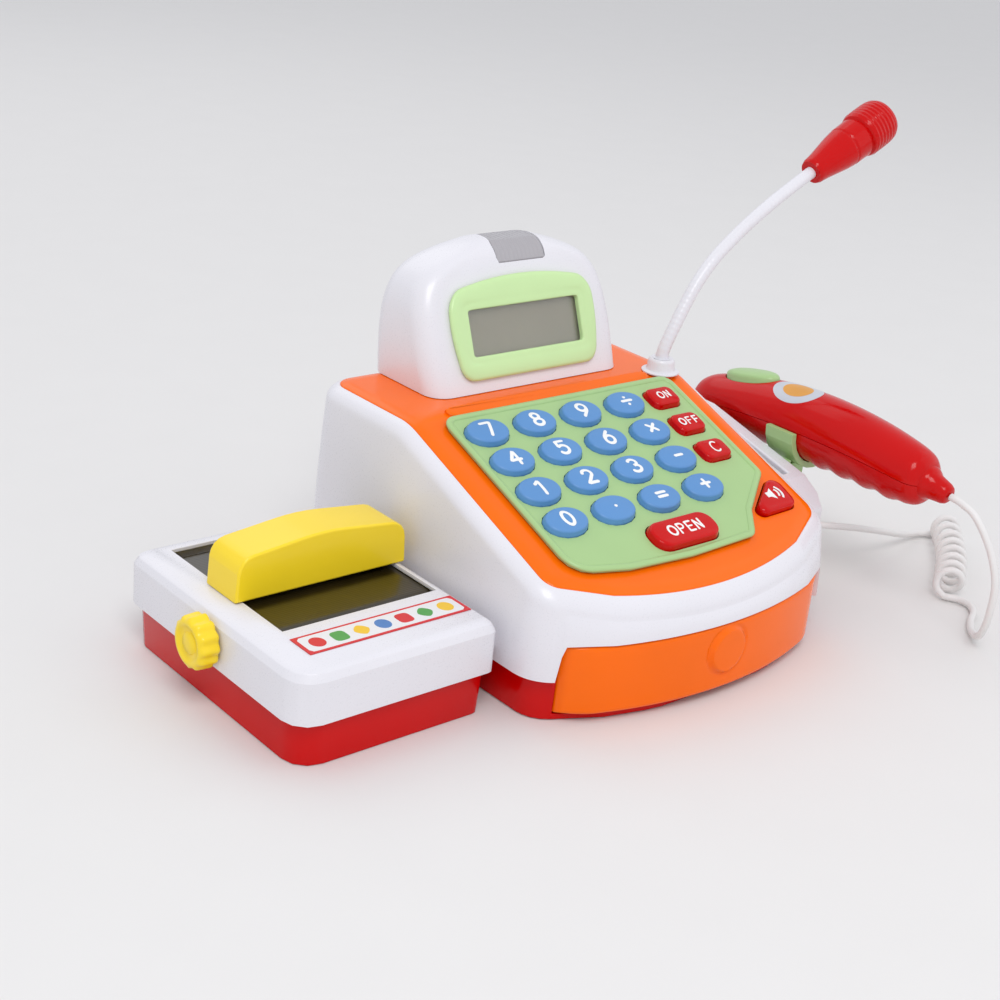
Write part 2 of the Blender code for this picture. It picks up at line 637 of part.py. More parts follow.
def hood_solid(name, inset):
    """The hood as a loft of rounded plans: a leaning face, drawn-in sides and a domed top."""
    shape = bmesh.new()
    rings = []
    for up, half, back_off, back in HOOD_LAYERS:
        top = PLATEAU_Z + GAP + up * MM - inset
        if inset and up == 0.0:
            top -= 20 * MM
        front = HOOD_FRONT_Y + back_off * MM + (top + inset - PLATEAU_Z) * math.tan(HOOD_LEAN) + 1.08 * inset
        side = half * MM - inset
        rear = back * MM - inset
        plan = rounded([(-side, front, HOOD_CORNER), (side, front, HOOD_CORNER), (side, rear, HOOD_CORNER),
                        (-side, rear, HOOD_CORNER)], 4)
        rings.append([shape.verts.new((x, y, top)) for x, y in plan])
    for lower, upper in zip(rings, rings[1:]):
        for i in range(len(lower)):
            j = (i + 1) % len(lower)
            shape.faces.new((lower[i], lower[j], upper[j], upper[i]))
    shape.faces.new(rings[0][::-1])
    shape.faces.new(rings[-1])
    mesh = bpy.data.meshes.new(name)
    shape.to_mesh(mesh)
    shape.free()
    return add_mesh(name, mesh, WHITE)


def bezel_outline(growth):
    """Outline of the pale green display frame on the hood's face."""
    g = growth
    return rounded([(-34.5 * MM - g, 5.5 * MM - g, 7 * MM), (34.5 * MM + g, 5.5 * MM - g, 7 * MM),
                    (38 * MM + g, 24 * MM, 0), (36 * MM + g, 41 * MM + 0.7 * g, 9 * MM),
                    (0, 46.5 * MM + g, 30 * MM), (-36 * MM - g, 41 * MM + 0.7 * g, 9 * MM),
                    (-38 * MM - g, 24 * MM, 0)], 4)


def make_hood():
    hood = hood_solid("hood_shell", 0.0)
    cut(hood, hood_solid("hood_inside", WALL))
    middle = (WINDOW_LOW + WINDOW_HIGH) / 2
    tall = (WINDOW_HIGH - WINDOW_LOW) / 2
    cut(hood, prism("display_opening", [slab(WINDOW_HALF + 2.5 * MM, tall + 2.5 * MM, 1 * MM, 0, middle, 1)],
                    -9 * MM, 9 * MM, place=HOOD_FACE))
    cut(hood, block("lamp_opening", (LAMP_X - LAMP_HALF - GAP, LAMP_FRONT_Y - GAP, LAMP_Z),
                    (LAMP_X + LAMP_HALF + GAP, LAMP_BACK_Y + GAP, FAR)))
    prism("display_bezel", [bezel_outline(0.0), slab(WINDOW_HALF, tall, 1.2 * MM, 0, middle, 1)],
          GAP, GAP + 2.2 * MM, PALE_GREEN, HOOD_FACE)
    prism("display_window", [slab(WINDOW_HALF + 2.2 * MM, tall + 2.2 * MM, 0.8 * MM, 0, middle, 1)],
          -1.2 * MM, 0.0, CLEAR, HOOD_FACE)
    prism("display_module", [slab(WINDOW_HALF + 2.2 * MM, tall + 2.2 * MM, 0.8 * MM, 0, middle, 1)],
          -6.0 * MM, -1.2 * MM - GAP, GREY, HOOD_FACE)
    lamp = hood_solid("lamp_cover", 0.0)
    lamp.data.materials.clear()
    lamp.data.materials.append(SMOKE)
    cut(lamp, hood_solid("lamp_inside", WALL))
    keep_inside(lamp, block("lamp_width", (LAMP_X - LAMP_HALF, LAMP_FRONT_Y, LAMP_Z),
                            (LAMP_X + LAMP_HALF, LAMP_BACK_Y, FAR)))


def make_speaker():
    top = PLATEAU_Z - DECK_THICK - GAP
    return turned("speaker", [(0, 0), (17, 0), (17, -3), (10, -8), (9, -11), (0, -11)],
                  Matrix.Translation((-52 * MM, 72 * MM, top)) @ Matrix.Scale(MM, 4), DARK, 16)


# ---- microphone ----
STALK_ROUTE = [(62.5, 42.5, 87.0), (62.6, 42.5, 92.5), (64.2, 42.5, 97.0), (67.6, 42.6, 103.5),
               (72.3, 43.0, 111.5), (79.0, 43.5, 121.3), (87.6, 44.0, 130.2), (98.7, 45.0, 137.8),
               (109.6, 45.0, 145.2), (122.3, 45.0, 152.7), (133.9, 45.0, 158.8), (143.5, 45.0, 163.6)]


def make_microphone():
    socket = turned("mic_socket", [(STALK_R + GAP, SOCKET_H), (SOCKET_R * 0.7, SOCKET_H),
                                   (SOCKET_R * 0.8, SOCKET_H - 1.5 * MM), (SOCKET_R, 1.2 * MM), (SOCKET_R, 0),
                                   (STALK_R + GAP, 0), (STALK_R + GAP, SOCKET_H)],
                    Matrix.Translation((MIC_X, MIC_Y, PLATEAU_Z + GAP)), WHITE)
    smooth(socket)
    route = [tuple(v * MM for v in p) for p in STALK_ROUTE]
    stalk = tube("mic_stalk", flowing(route, 5 * MM), STALK_R, WHITE, 2)
    stalk.data.transform(Matrix.Translation((-MIC_X, -MIC_Y, -PLATEAU_Z)))
    stalk.location = (MIC_X, MIC_Y, PLATEAU_Z)
    tip, before = Vector(route[-1]), Vector(route[-2])
    direction = (tip - before).normalized()
    turn = direction.to_track_quat("Z", "Y").to_matrix().to_4x4()
    start = Matrix.Translation(tip + direction * GAP) @ turn
    length = MIC_LENGTH
    profile = [(0, length), (6.5 * MM, length - 0.4 * MM), (9.6 * MM, length - 2.5 * MM),
               (10.4 * MM, length - 7 * MM), (10.4 * MM, length - 16 * MM), (9.0 * MM, length - 17.5 * MM),
               (9.4 * MM, length - 20 * MM), (9.0 * MM, length - 29 * MM), (7.6 * MM, length - 38 * MM),
               (5.9 * MM, 1.5 * MM), (5.3 * MM, 0), (0, 0)]
    head = turned("mic_head", profile, start, RED, 20)
    smooth(head)
    seat(head, (MIC_X, MIC_Y, PLATEAU_Z))


# ---- card reader and cradle ----
def make_card_reader():
    top = [(y, deck_height(y, READER_DROP)) for y in (READER_BACK_Y, 40 * MM, READER_FRONT_Y + 12 * MM)]
    nose = [(READER_FRONT_Y + 4 * MM, deck_height(READER_FRONT_Y, READER_DROP) - 2 * MM),
            (READER_FRONT_Y, deck_height(READER_FRONT_Y, READER_DROP) - 8 * MM), (READER_FRONT_Y, SKIRT_Z)]
    side_view = [(READER_BACK_Y, SKIRT_Z)] + top + nose
    reader = prism("card_reader", [side_view], READER_LOW_X, READER_HIGH_X, WHITE, ACROSS)
    slot_front = READER_FRONT_Y + 16 * MM
    slot = [(y, deck_height(y, READER_DROP + SLOT_DEPTH)) for y in (slot_front, 40 * MM, FAR)]
    slot += [(FAR, FAR), (slot_front, FAR)]
    cut(reader, prism("card_slot", [slot], SLOT_X - SLOT_WIDTH / 2, SLOT_X + SLOT_WIDTH / 2, place=ACROSS))
    cut(reader, block("reader_hollow", (READER_LOW_X + THIN, READER_FRONT_Y + THIN, 0.0),
                      (READER_HIGH_X - THIN, READER_BACK_Y - THIN, 24 * MM)))
    return reader


def scanner_lift(y):
    """How far the scanner's bowed axis lies off its highest point."""
    return -SCAN_BOW * ((y - SCAN_BOW_Y) / SCAN_BOW_REACH) ** 2


def scanner_radius(y):
    """Radius of the scanner's body at y, in metres, straight between the profile's points."""
    for (y1, r1), (y0, r0) in zip(SCAN_PROFILE, SCAN_PROFILE[1:]):
        if y0 * MM <= y <= y1 * MM:
            return (r0 + (r1 - r0) * (y / MM - y0) / (y1 - y0)) * MM
    return 0.0


def bowed(part):
    """Bend a straight piece that lies along the scanner to the scanner's bow."""
    for vertex in part.data.vertices:
        vertex.co.z += scanner_lift(vertex.co.y)
    return part


def make_cradle():
    """Two saddles on a plate screwed to the reader's side."""
    left = READER_HIGH_X + GAP
    half = SADDLE_WIDTH / 2
    cradle = block("scanner_cradle", (left, SADDLE_YS[1] - half, PLATE_LOW),
                   (left + THIN, SADDLE_YS[0] + half, PLATE_HIGH), GREEN)
    arc = [math.radians(180 + 15 * k) for k in range(0, 13)]
    for i, y in enumerate(SADDLE_YS):
        middle = SCAN_Z + scanner_lift(y)
        ends = [scanner_radius(e) + abs(scanner_lift(e) - scanner_lift(y)) for e in (y - half, y, y + half)]
        seat_r = max(ends) + GAP
        rim_r = seat_r + CRADLE_THICK
        outer = [(SCAN_X + rim_r * math.cos(a), middle + rim_r * math.sin(a)) for a in arc]
        inner = [(SCAN_X + seat_r * math.cos(a), middle + seat_r * math.sin(a)) for a in reversed(arc)]
        join(cradle, prism("saddle_%d" % i, [outer + inner], -y - half, -y + half, place=UPRIGHT))
        join(cradle, block("saddle_foot_%d" % i, (left + THIN / 2, y - 2 * MM, PLATE_LOW + 2 * MM),
                           (SCAN_X, y + 2 * MM, middle - seat_r - CRADLE_THICK / 2)))
    return cradle


# ---- hand scanner ----
ALONG_SCANNER = Matrix.Translation((SCAN_X, 0, SCAN_Z)) @ ALONG_Y


def scanner_body(name, inset, material):
    """The whole body as one turned and bowed solid, or its inside when inset."""
    nose, tail = SCAN_NOSE_Y - inset, SCAN_TAIL_Y + inset
    side = [(r * MM - inset, min(nose, max(tail, y * MM))) for y, r in SCAN_PROFILE]
    return bowed(turned(name, [(0, nose)] + side + [(0, tail)], ALONG_SCANNER, material, 24))


def scanner_half(name, upper):
    shell = scanner_body(name, 0.0, RED)
    cut(shell, scanner_body(name + "_inside", THIN, None))
    edge = GAP / 2 if upper else -GAP / 2
    seam = [(y * MM, SCAN_Z + scanner_lift(y * MM) + edge) for y in range(-80, 81, 8)]
    far = FAR if upper else -FAR
    keep_inside(shell, prism(name + "_side", [seam + [(80 * MM, far), (-80 * MM, far)]], 0.0, FAR,
                             place=ACROSS))
    return smooth(shell)


def trigger_outline(growth):
    return ellipse(TRIGGER_HALF[0] + growth, TRIGGER_HALF[1] + growth, 16)


def make_scanner():
    upper = scanner_half("scanner_upper", True)
    lower = scanner_half("scanner_lower", False)
    on_top = Matrix.Translation((SCAN_X, TRIGGER_Y, SCAN_Z + scanner_lift(TRIGGER_Y)))
    on_top = on_top @ Matrix.Rotation(TRIGGER_TILT, 4, "X")
    here_r = scanner_radius(TRIGGER_Y)
    cut(upper, stack("trigger_hole", trigger_outline, [(5 * MM, KEY_HOLE_GAP), (30 * MM, KEY_HOLE_GAP)],
                     place=on_top))
    flange = 1.0 * MM
    shoulder = math.sqrt((here_r - THIN) ** 2 - (TRIGGER_HALF[0] + flange) ** 2) - GAP
    trigger = stack("scanner_trigger", trigger_outline,
                    [(shoulder - 1.2 * MM, flange), (shoulder, flange), (shoulder, 0.0),
                     (here_r + 2.0 * MM, 0.0), (here_r + 3.6 * MM, -2.2 * MM)], GREEN, on_top)
    seat(trigger, on_top @ Vector((0, 0, here_r)))
    smooth(trigger, 50)
    nose, glass_r = SCAN_NOSE_Y, SCAN_LENS_R - GAP
    lens = turned("scanner_lens", [(0, nose + 0.5 * MM), (glass_r - 1.2 * MM, nose + 0.2 * MM),
                                   (glass_r, nose - 1 * MM), (glass_r, nose - 4 * MM), (0, nose - 4 * MM)],
                  ALONG_SCANNER, SMOKE, 20)
    smooth(bowed(lens))
    for part in (upper, lower):
        cut(part, bowed(turned("lens_bore", [(0, nose + 9 * MM), (SCAN_LENS_R, nose + 9 * MM),
                                             (SCAN_LENS_R, nose - 6 * MM), (0, nose - 6 * MM)],
                               ALONG_SCANNER, None, 20)))
    tail = SCAN_TAIL_Y - GAP
    bush = turned("scanner_cord_bush", [(0, tail), (3.6 * MM, tail), (3.4 * MM, tail - BUSH_LENGTH / 3),
                                        (2.2 * MM, tail - BUSH_LENGTH), (0, tail - BUSH_LENGTH)],
                  ALONG_SCANNER, RED, 12)
    smooth(bowed(bush))


# ---- curly cord ----
REGISTER_LEAD = [(104.6, -14.0, 26.2), (112.0, -14.0, 25.4), (124.0, -14.0, 22.4), (144.0, -14.0, 18.0),
                 (165.0, -13.6, 13.4), (185.0, -12.6, 8.8), (198.0, -11.4, 5.4), (206.0, -10.8, 3.6),
                 (210.0, -12.8, 4.2), (207.0, -16.0, 6.4)]
COIL_ROUTE = [(206.1, -17.0, 6.7), (196.0, -27.5, 6.7), (182.0, -39.0, 6.7), (166.0, -50.5, 6.7),
              (150.5, -60.5, 6.7)]
SCANNER_LEAD = [(150.2, -60.7, 6.6), (144.0, -64.6, 4.8), (137.0, -70.5, 2.0), (130.5, -80.0, 1.4),
                (125.0, -90.0, 2.0), (119.8, -98.6, 8.0), (117.0, -103.0, 20.0), (116.2, -102.5, 34.0),
                (116.2, -96.5, 46.5), (116.2, -87.5, 56.6), (116.2, -80.0, 59.8), (116.2, -74.2, 60.7)]


def make_cord():
    scale = Matrix.Scale(MM, 3)
    for name, route in (("cord_register_lead", REGISTER_LEAD), ("cord_scanner_lead", SCANNER_LEAD)):
        tube(name, flowing([scale @ Vector(p) for p in route], 5.2 * MM), CORD_R, PVC, 2)
    tube("cord_coil", flowing([scale @ Vector(p) for p in COIL_ROUTE], 9 * MM), COIL_R, PVC, 2)
    wall = READER_HIGH_X + GAP
    gland = turned("cord_gland", [(0, 6 * MM), (2.0 * MM, 6 * MM), (3.2 * MM, 2.5 * MM), (5 * MM, 2 * MM),
                                  (5 * MM, 0), (0, 0)],
                   Matrix.Translation((wall, GLAND_Y, GLAND_Z)) @ ALONG_X, WHITE, 12)
    smooth(gland)


# ---- conveyor ----
BELT_BOX_LEFT = BELT_BOX_RIGHT - BELT_BOX_WIDTH
BELT_BOX_BACK = BELT_BOX_FRONT + BELT_BOX_DEPTH
BELT_RIGHT = BELT_BOX_RIGHT - WINDOW_MARGIN + 0.5 * MM
BELT_LEFT = BELT_RIGHT - BELT_WIDTH
BELT_TOP = BELT_BOX_TOP - BELT_BOX_ROOF - GAP
ROLLER_Z = BELT_TOP - BELT_THICK - GAP - ROLLER_R
FRONT_ROLLER_Y = BELT_FRONT + ROLLER_R
REAR_ROLLER_Y = BELT_BACK - ROLLER_R
DRIVE_Z = ROLLER_Z - ROLLER_R + DRIVE_R


def conveyor_outline(growth):
    g = growth
    return rounded([(BELT_BOX_LEFT - g, BELT_BOX_FRONT - g, 10 * MM),
                    (BELT_BOX_RIGHT + g, BELT_BOX_FRONT - g, 3 * MM),
                    (BELT_BOX_RIGHT + g, BELT_BOX_BACK + g, 5 * MM),
                    (BELT_BOX_LEFT - g, BELT_BOX_BACK + g, 5 * MM)], 3)


def make_conveyor_housing():
    housing = stack("conveyor_housing", conveyor_outline,
                    [(SKIRT_Z, 0.0), (BELT_BOX_TOP - 4 * MM, 0.0), (BELT_BOX_TOP - 1.2 * MM, -1.2 * MM),
                     (BELT_BOX_TOP, -3.2 * MM)], WHITE)
    cut(housing, stack("housing_inside", conveyor_outline,
                       [(0.0, -THIN), (BELT_BOX_TOP - 5 * MM, -THIN),
                        (BELT_BOX_TOP - BELT_BOX_ROOF, -THIN - 1.5 * MM)]))
    cut(housing, block("belt_window", (BELT_LEFT + 0.5 * MM, BELT_FRONT, 25 * MM),
                       (BELT_RIGHT - 0.5 * MM, BELT_BACK, FAR)))
    cut(housing, block("knob_bore", (-FAR, DRIVE_Y - SHAFT_R - GAP, DRIVE_Z - SHAFT_R - GAP),
                       (BELT_BOX_LEFT + 5 * MM, DRIVE_Y + SHAFT_R + GAP, DRIVE_Z + SHAFT_R + GAP)))
    join(housing, block("joining_lug", (BELT_BOX_RIGHT - THIN / 2, BELT_BOX_FRONT + 8 * MM, 22 * MM),
                        (-HALF_WIDTH - DRAFT - GAP, BELT_BOX_FRONT + 13 * MM, 26 * MM)))
    return housing


def roller_axle(name, y, z, radius, material, left, right):
    """A roller with a thinner shaft at each end, lying along X."""
    profile = [(0, BELT_RIGHT + right), (SHAFT_R, BELT_RIGHT + right), (SHAFT_R, BELT_RIGHT),
               (radius, BELT_RIGHT), (radius, BELT_LEFT), (SHAFT_R, BELT_LEFT), (SHAFT_R, left), (0, left)]
    part = turned(name, profile, Matrix.Translation((0, y, z)) @ ALONG_X, material, 16)
    seat(part, (BELT_LEFT, y, z))
    return smooth(part)


EAR_THICK = 1.5 * MM
EAR_GAP = 0.2 * MM
RUNNING_GAP = 0.08 * MM


def make_conveyor_base():
    base = stack("conveyor_base", conveyor_outline, [(0.0, -3.0 * MM), (SKIRT_Z - GAP, -2.0 * MM - GAP)], RED)
    cut(base, stack("conveyor_inside", conveyor_outline, [(FLOOR, -5.0 * MM), (FAR, -5.0 * MM)]))
    for side, x in (("right", BELT_RIGHT + EAR_GAP), ("left", BELT_LEFT - EAR_GAP - EAR_THICK)):
        for y, z in ((FRONT_ROLLER_Y, ROLLER_Z), (REAR_ROLLER_Y, ROLLER_Z), (DRIVE_Y, DRIVE_Z)):
            join(base, block("ear_" + side, (x, y - 4 * MM, FLOOR / 2),
                             (x + EAR_THICK, y + 4 * MM, z + 3.5 * MM)))
    for y, z in ((FRONT_ROLLER_Y, ROLLER_Z), (REAR_ROLLER_Y, ROLLER_Z), (DRIVE_Y, DRIVE_Z)):
        bore = SHAFT_R + RUNNING_GAP
        cut(base, turned("ear_bore", [(0, BELT_BOX_RIGHT), (bore, BELT_BOX_RIGHT), (bore, BELT_BOX_LEFT),
                                      (0, BELT_BOX_LEFT)], Matrix.Translation((0, y, z)) @ ALONG_X, None, 16))
    for y in TONGUE_YS:
        join(base, block("tongue", (BELT_BOX_RIGHT - 6 * MM, y - TONGUE_HALF, TONGUE_LOW),
                         (-HALF_WIDTH + 6 * MM, y + TONGUE_HALF, TONGUE_HIGH)))
    return base


def belt_loop(growth):
    """Side view of the belt round its two end rollers, as a stadium."""
    r = ROLLER_R + GAP + growth
    points = []
    for k in range(13):
        a = math.radians(90 + 15 * k)
        points.append((FRONT_ROLLER_Y + r * math.cos(a), ROLLER_Z + r * math.sin(a)))
    for k in range(13):
        a = math.radians(270 + 15 * k)
        points.append((REAR_ROLLER_Y + r * math.cos(a), ROLLER_Z + r * math.sin(a)))
    return points


def make_conveyor():
    make_conveyor_housing()
    make_conveyor_base()
    prism("conveyor_belt", [belt_loop(BELT_THICK), belt_loop(0.0)], BELT_LEFT, BELT_RIGHT, BELT, ACROSS)
    roller_axle("front_roller", FRONT_ROLLER_Y, ROLLER_Z, ROLLER_R, WHITE,
                BELT_LEFT - EAR_THICK - 1 * MM, EAR_THICK + EAR_GAP)
    roller_axle("rear_roller", REAR_ROLLER_Y, ROLLER_Z, ROLLER_R, WHITE,
                BELT_LEFT - EAR_THICK - 1 * MM, EAR_THICK + EAR_GAP)
    roller_axle("drive_roller", DRIVE_Y, DRIVE_Z, DRIVE_R, WHITE, BELT_BOX_LEFT - GAP, EAR_THICK + EAR_GAP)
    knob_face = BELT_BOX_LEFT - 2 * GAP
    knob = turned("conveyor_knob", [(0, 0), (KNOB_R * 0.9, 0), (KNOB_R, -1.5 * MM), (KNOB_R * 0.94, -5 * MM),
                                    (KNOB_R * 0.6, -KNOB_DEPTH + 0.7 * MM), (0, -KNOB_DEPTH)],
                  Matrix.Translation((knob_face, DRIVE_Y, DRIVE_Z)) @ ALONG_X, YELLOW, 20)
    seat(knob, (knob_face, DRIVE_Y, DRIVE_Z))
    smooth(knob)
    make_arch()
    block("information_strip", (BELT_BOX_LEFT + 12 * MM, -22 * MM, BELT_BOX_TOP + 0.05 * MM),
          (BELT_BOX_RIGHT - 3.4 * MM, -9.5 * MM, BELT_BOX_TOP + 0.35 * MM), RED)


def arch_outline(g):
    """Front view of the yellow bridge over the belt."""
    low = BELT_BOX_TOP + GAP
    left, right = BELT_LEFT - 3 * MM - g, BELT_BOX_RIGHT + g - 0.5 * MM
    if g < 0:
        low -= 20 * MM
    middle = (left + right) / 2
    return rounded([(left, low, 0), (right, low, 0), (right - 1 * MM, ARCH_TOP - 1 * MM + g, 7 * MM),
                    (middle, ARCH_TOP + 3 * MM + g, 80 * MM),
                    (left + 1 * MM, ARCH_TOP - 1 * MM + g, 7 * MM)], 4)


def make_arch():
    back = -ARCH_FRONT - ARCH_DEPTH
    arch = prism("scan_bridge", [arch_outline(0.0)], back, -ARCH_FRONT, YELLOW, UPRIGHT)
    cut(arch, prism("bridge_inside", [arch_outline(-THIN)], back + THIN, -ARCH_FRONT - THIN, place=UPRIGHT))
    return arch


make_base_tray()
make_battery_cover()
make_body_shell()
make_deck_panel()
make_keypad()
make_board()
make_drawer()
make_hood()
make_speaker()
make_microphone()
make_card_reader()
make_cradle()
make_scanner()
make_cord()
make_conveyor()
bpy.context.view_layer.update()
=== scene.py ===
import json
import bmesh
import bpy
import numpy as np
from mathutils import Matrix, Vector

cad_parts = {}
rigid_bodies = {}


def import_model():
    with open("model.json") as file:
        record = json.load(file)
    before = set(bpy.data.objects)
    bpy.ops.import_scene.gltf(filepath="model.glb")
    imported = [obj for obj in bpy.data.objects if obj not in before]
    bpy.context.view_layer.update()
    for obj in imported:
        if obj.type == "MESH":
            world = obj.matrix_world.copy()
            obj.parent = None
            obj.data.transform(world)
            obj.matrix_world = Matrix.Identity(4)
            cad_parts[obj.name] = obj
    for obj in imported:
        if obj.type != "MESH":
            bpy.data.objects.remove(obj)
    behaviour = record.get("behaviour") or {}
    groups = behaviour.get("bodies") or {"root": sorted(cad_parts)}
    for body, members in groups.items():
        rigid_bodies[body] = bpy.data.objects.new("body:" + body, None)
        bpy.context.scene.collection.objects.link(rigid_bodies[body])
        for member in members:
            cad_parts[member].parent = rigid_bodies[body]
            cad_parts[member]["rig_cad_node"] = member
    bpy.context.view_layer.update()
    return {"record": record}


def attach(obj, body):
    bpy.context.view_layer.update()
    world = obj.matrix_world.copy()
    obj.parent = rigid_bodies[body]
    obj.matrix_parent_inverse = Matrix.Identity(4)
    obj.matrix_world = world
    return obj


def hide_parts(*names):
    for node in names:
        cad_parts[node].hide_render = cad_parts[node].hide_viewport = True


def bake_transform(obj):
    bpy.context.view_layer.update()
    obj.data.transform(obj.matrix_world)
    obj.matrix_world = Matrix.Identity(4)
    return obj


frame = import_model()
MM = 0.001

# ==== Camera ====
# A 62 mm lens at the left front, a little above the toy and rolled slightly. The rows of camera_axes are
# the camera's right, up and back in the scene.
camera_data = bpy.data.cameras.new("view")
camera_data.sensor_width = 36.0
camera_data.lens = 62.25
camera = bpy.data.objects.new("view", camera_data)
camera_axes = Matrix(((0.764431, -0.637817, 0.093995), (0.181160, 0.352431, 0.918136),
                      (-0.618730, -0.684823, 0.384956)))
camera.matrix_world = Matrix.Translation((-0.45202, -0.43472, 0.30979)) @ camera_axes.transposed().to_4x4()
bpy.context.collection.objects.link(camera)
bpy.context.scene.camera = camera
bpy.context.scene.view_settings.view_transform = "Standard"

# ==== Cord ====
# A thin soft white PVC lead. It drops from the gland to the table, winds into a springy coil that lies at
# the register's right front, and rises into the scanner's tail. It is one jacket, heat-set in the coil.
CORD_R = 1.5
COIL_CENTRE_R = 5.4
COIL_TURNS = 8.0
STEPS_A_TURN = 18
REGISTER_LEAD = [(104.6, -14, 26.2), (112, -14, 25.4), (124, -14, 22.4), (144, -14, 17), (165, -13.4, 10.6),
                 (178, -12.2, 6.2), (189, -10.8, 3.3), (195.6, -10.2, 2.1), (200.7, -12.3, 1.7)]
COIL_START = (205.6, -17.0, 7.1)
COIL_MIDDLE = (178.0, -41.5, 7.1)
COIL_END = (150.5, -60.5, 7.1)
SCANNER_LEAD = [(153.4, -65.2, 1.7), (153.0, -71.0, 1.7), (148.2, -76.4, 1.7), (140.5, -80.6, 1.7),
                (132.5, -86.5, 1.9), (124.6, -94.4, 4.6), (119.8, -99.4, 11), (117, -102.2, 21),
                (116.2, -102.1, 34), (116.2, -96.5, 46.5), (116.2, -87.5, 56.6), (116.2, -80, 59.8),
                (116.2, -74.2, 60.7)]


def srgb(code):
    """A hex colour made linear: a channel over 12.92 near black, else ((c + 0.055) / 1.055) to the 2.4."""
    c = np.array([int(code[i:i + 2], 16) for i in (1, 3, 5)]) / 255.0
    return (*np.where(c <= 0.04045, c / 12.92, ((c + 0.055) / 1.055) ** 2.4), 1.0)


def add(tree, kind, links=(), **values):
    """One node with its settings and sockets; links are (input, source output) pairs."""
    made = tree.nodes.new(kind)
    for key, value in values.items():
        if hasattr(made, key):
            setattr(made, key, value)
        else:
            made.inputs[key.replace("_", " ")].default_value = value
    for socket, source in links:
        tree.links.new(source, made.inputs[socket])
    return made


def new_finish(name):
    """An empty material, its nodes, and the object coordinates that place its patterns."""
    made = bpy.data.materials.new(name)
    made.use_nodes = True
    made.node_tree.nodes.clear()
    return made, made.node_tree, add(made.node_tree, "ShaderNodeTexCoord").outputs["Object"]


def moulded(name, colour, rough, marks=0.05, grain_mm=0.6, grain=0.02, coat=0.0, shine=0.5):
    """A moulded plastic. Broad flow marks darken its colour by up to the share in marks, and a fine tool
    grain, grain_mm across and as deep as grain says, breaks its gloss."""
    made, tree, place = new_finish(name)
    flow = add(tree, "ShaderNodeTexNoise", [("Vector", place)], Scale=1.0 / 0.035, Detail=3.0)
    fine = add(tree, "ShaderNodeTexNoise", [("Vector", place)], Scale=1.0 / (grain_mm * MM), Detail=2.0)
    base = np.array(srgb(colour))
    dark = base * (1 - marks)
    tone = add(tree, "ShaderNodeValToRGB", [("Fac", flow.outputs["Fac"])])
    tone.color_ramp.elements[0].position = 0.3
    tone.color_ramp.elements[0].color = (*dark[:3], 1.0)
    tone.color_ramp.elements[1].position = 0.7
    tone.color_ramp.elements[1].color = (*base[:3], 1.0)
    gloss = add(tree, "ShaderNodeMapRange", [("Value", fine.outputs["Fac"])])
    gloss.inputs["To Min"].default_value = rough * 0.85
    gloss.inputs["To Max"].default_value = rough * 1.2
    bump = add(tree, "ShaderNodeBump", [("Height", fine.outputs["Fac"])], Strength=grain, Distance=0.0002)
    shader = add(tree, "ShaderNodeBsdfPrincipled", [("Base Color", tone.outputs["Color"]),
                                                    ("Roughness", gloss.outputs["Result"]),
                                                    ("Normal", bump.outputs["Normal"])])
    shader.inputs["IOR"].default_value = 1.5
    shader.inputs["Specular IOR Level"].default_value = shine
    shader.inputs["Coat Weight"].default_value = coat
    shader.inputs["Coat Roughness"].default_value = 0.08
    add(tree, "ShaderNodeOutputMaterial", [("Surface", shader.outputs["BSDF"])])
    return made


def through(points, spacing):
    """A smooth line through points: a Catmull-Rom cubic on each span, read about every spacing."""
    p = np.asarray(points, float)
    p = np.vstack([2 * p[0] - p[1], p, 2 * p[-1] - p[-2]])
    runs = []
    for a, b, c, d in zip(p[:-3], p[1:-2], p[2:-1], p[3:]):
        t = np.linspace(0, 1, max(2, int(np.linalg.norm(c - b) / spacing)), endpoint=False)[:, None]
        runs.append(0.5 * (2 * b + (c - a) * t + (2 * a - 5 * b + 4 * c - d) * t ** 2
                           + (3 * b - a - 3 * c + d) * t ** 3))
    return np.vstack(runs + [p[-2:-1]])


def finish_mesh(name, points, faces, material, body, stands_for=(), sharp=38.0):
    """Puts points (in mm) and faces into an object at the origin, turns its faces out and smooths them."""
    mesh = bpy.data.meshes.new(name)
    mesh.from_pydata((np.asarray(points) * MM).tolist(), [], faces)
    work = bmesh.new()
    work.from_mesh(mesh)
    bmesh.ops.remove_doubles(work, verts=work.verts, dist=1e-6)
    bmesh.ops.recalc_face_normals(work, faces=work.faces)
    work.to_mesh(mesh)
    work.free()
    mesh.shade_smooth()
    mesh.set_sharp_from_angle(angle=np.radians(sharp))
    mesh.materials.append(material)
    piece = bpy.data.objects.new(name, mesh)
    bpy.context.collection.objects.link(piece)
    if body:
        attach(piece, body)
    if stands_for:
        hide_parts(*stands_for)
    return piece


def rings_faces(rows, cols, loop=False):
    """Quads between neighbouring rings, and a fan over the first and the last, unless the rows meet."""
    row = np.arange(rows if loop else rows - 1)[:, None]
    col = np.arange(cols)[None]
    step, turn = (row + 1) % rows, (col + 1) % cols
    quads = np.stack([row * cols + col, row * cols + turn, step * cols + turn, step * cols + col], -1)
    faces = quads.reshape(-1, 4).tolist()
    if not loop:
        a, b = np.arange(cols), (np.arange(cols) + 1) % cols
        last = (rows - 1) * cols
        faces += np.stack([np.full(cols, rows * cols), b, a], -1).tolist()
        faces += np.stack([np.full(cols, rows * cols + 1), last + a, last + b], -1).tolist()
    return faces


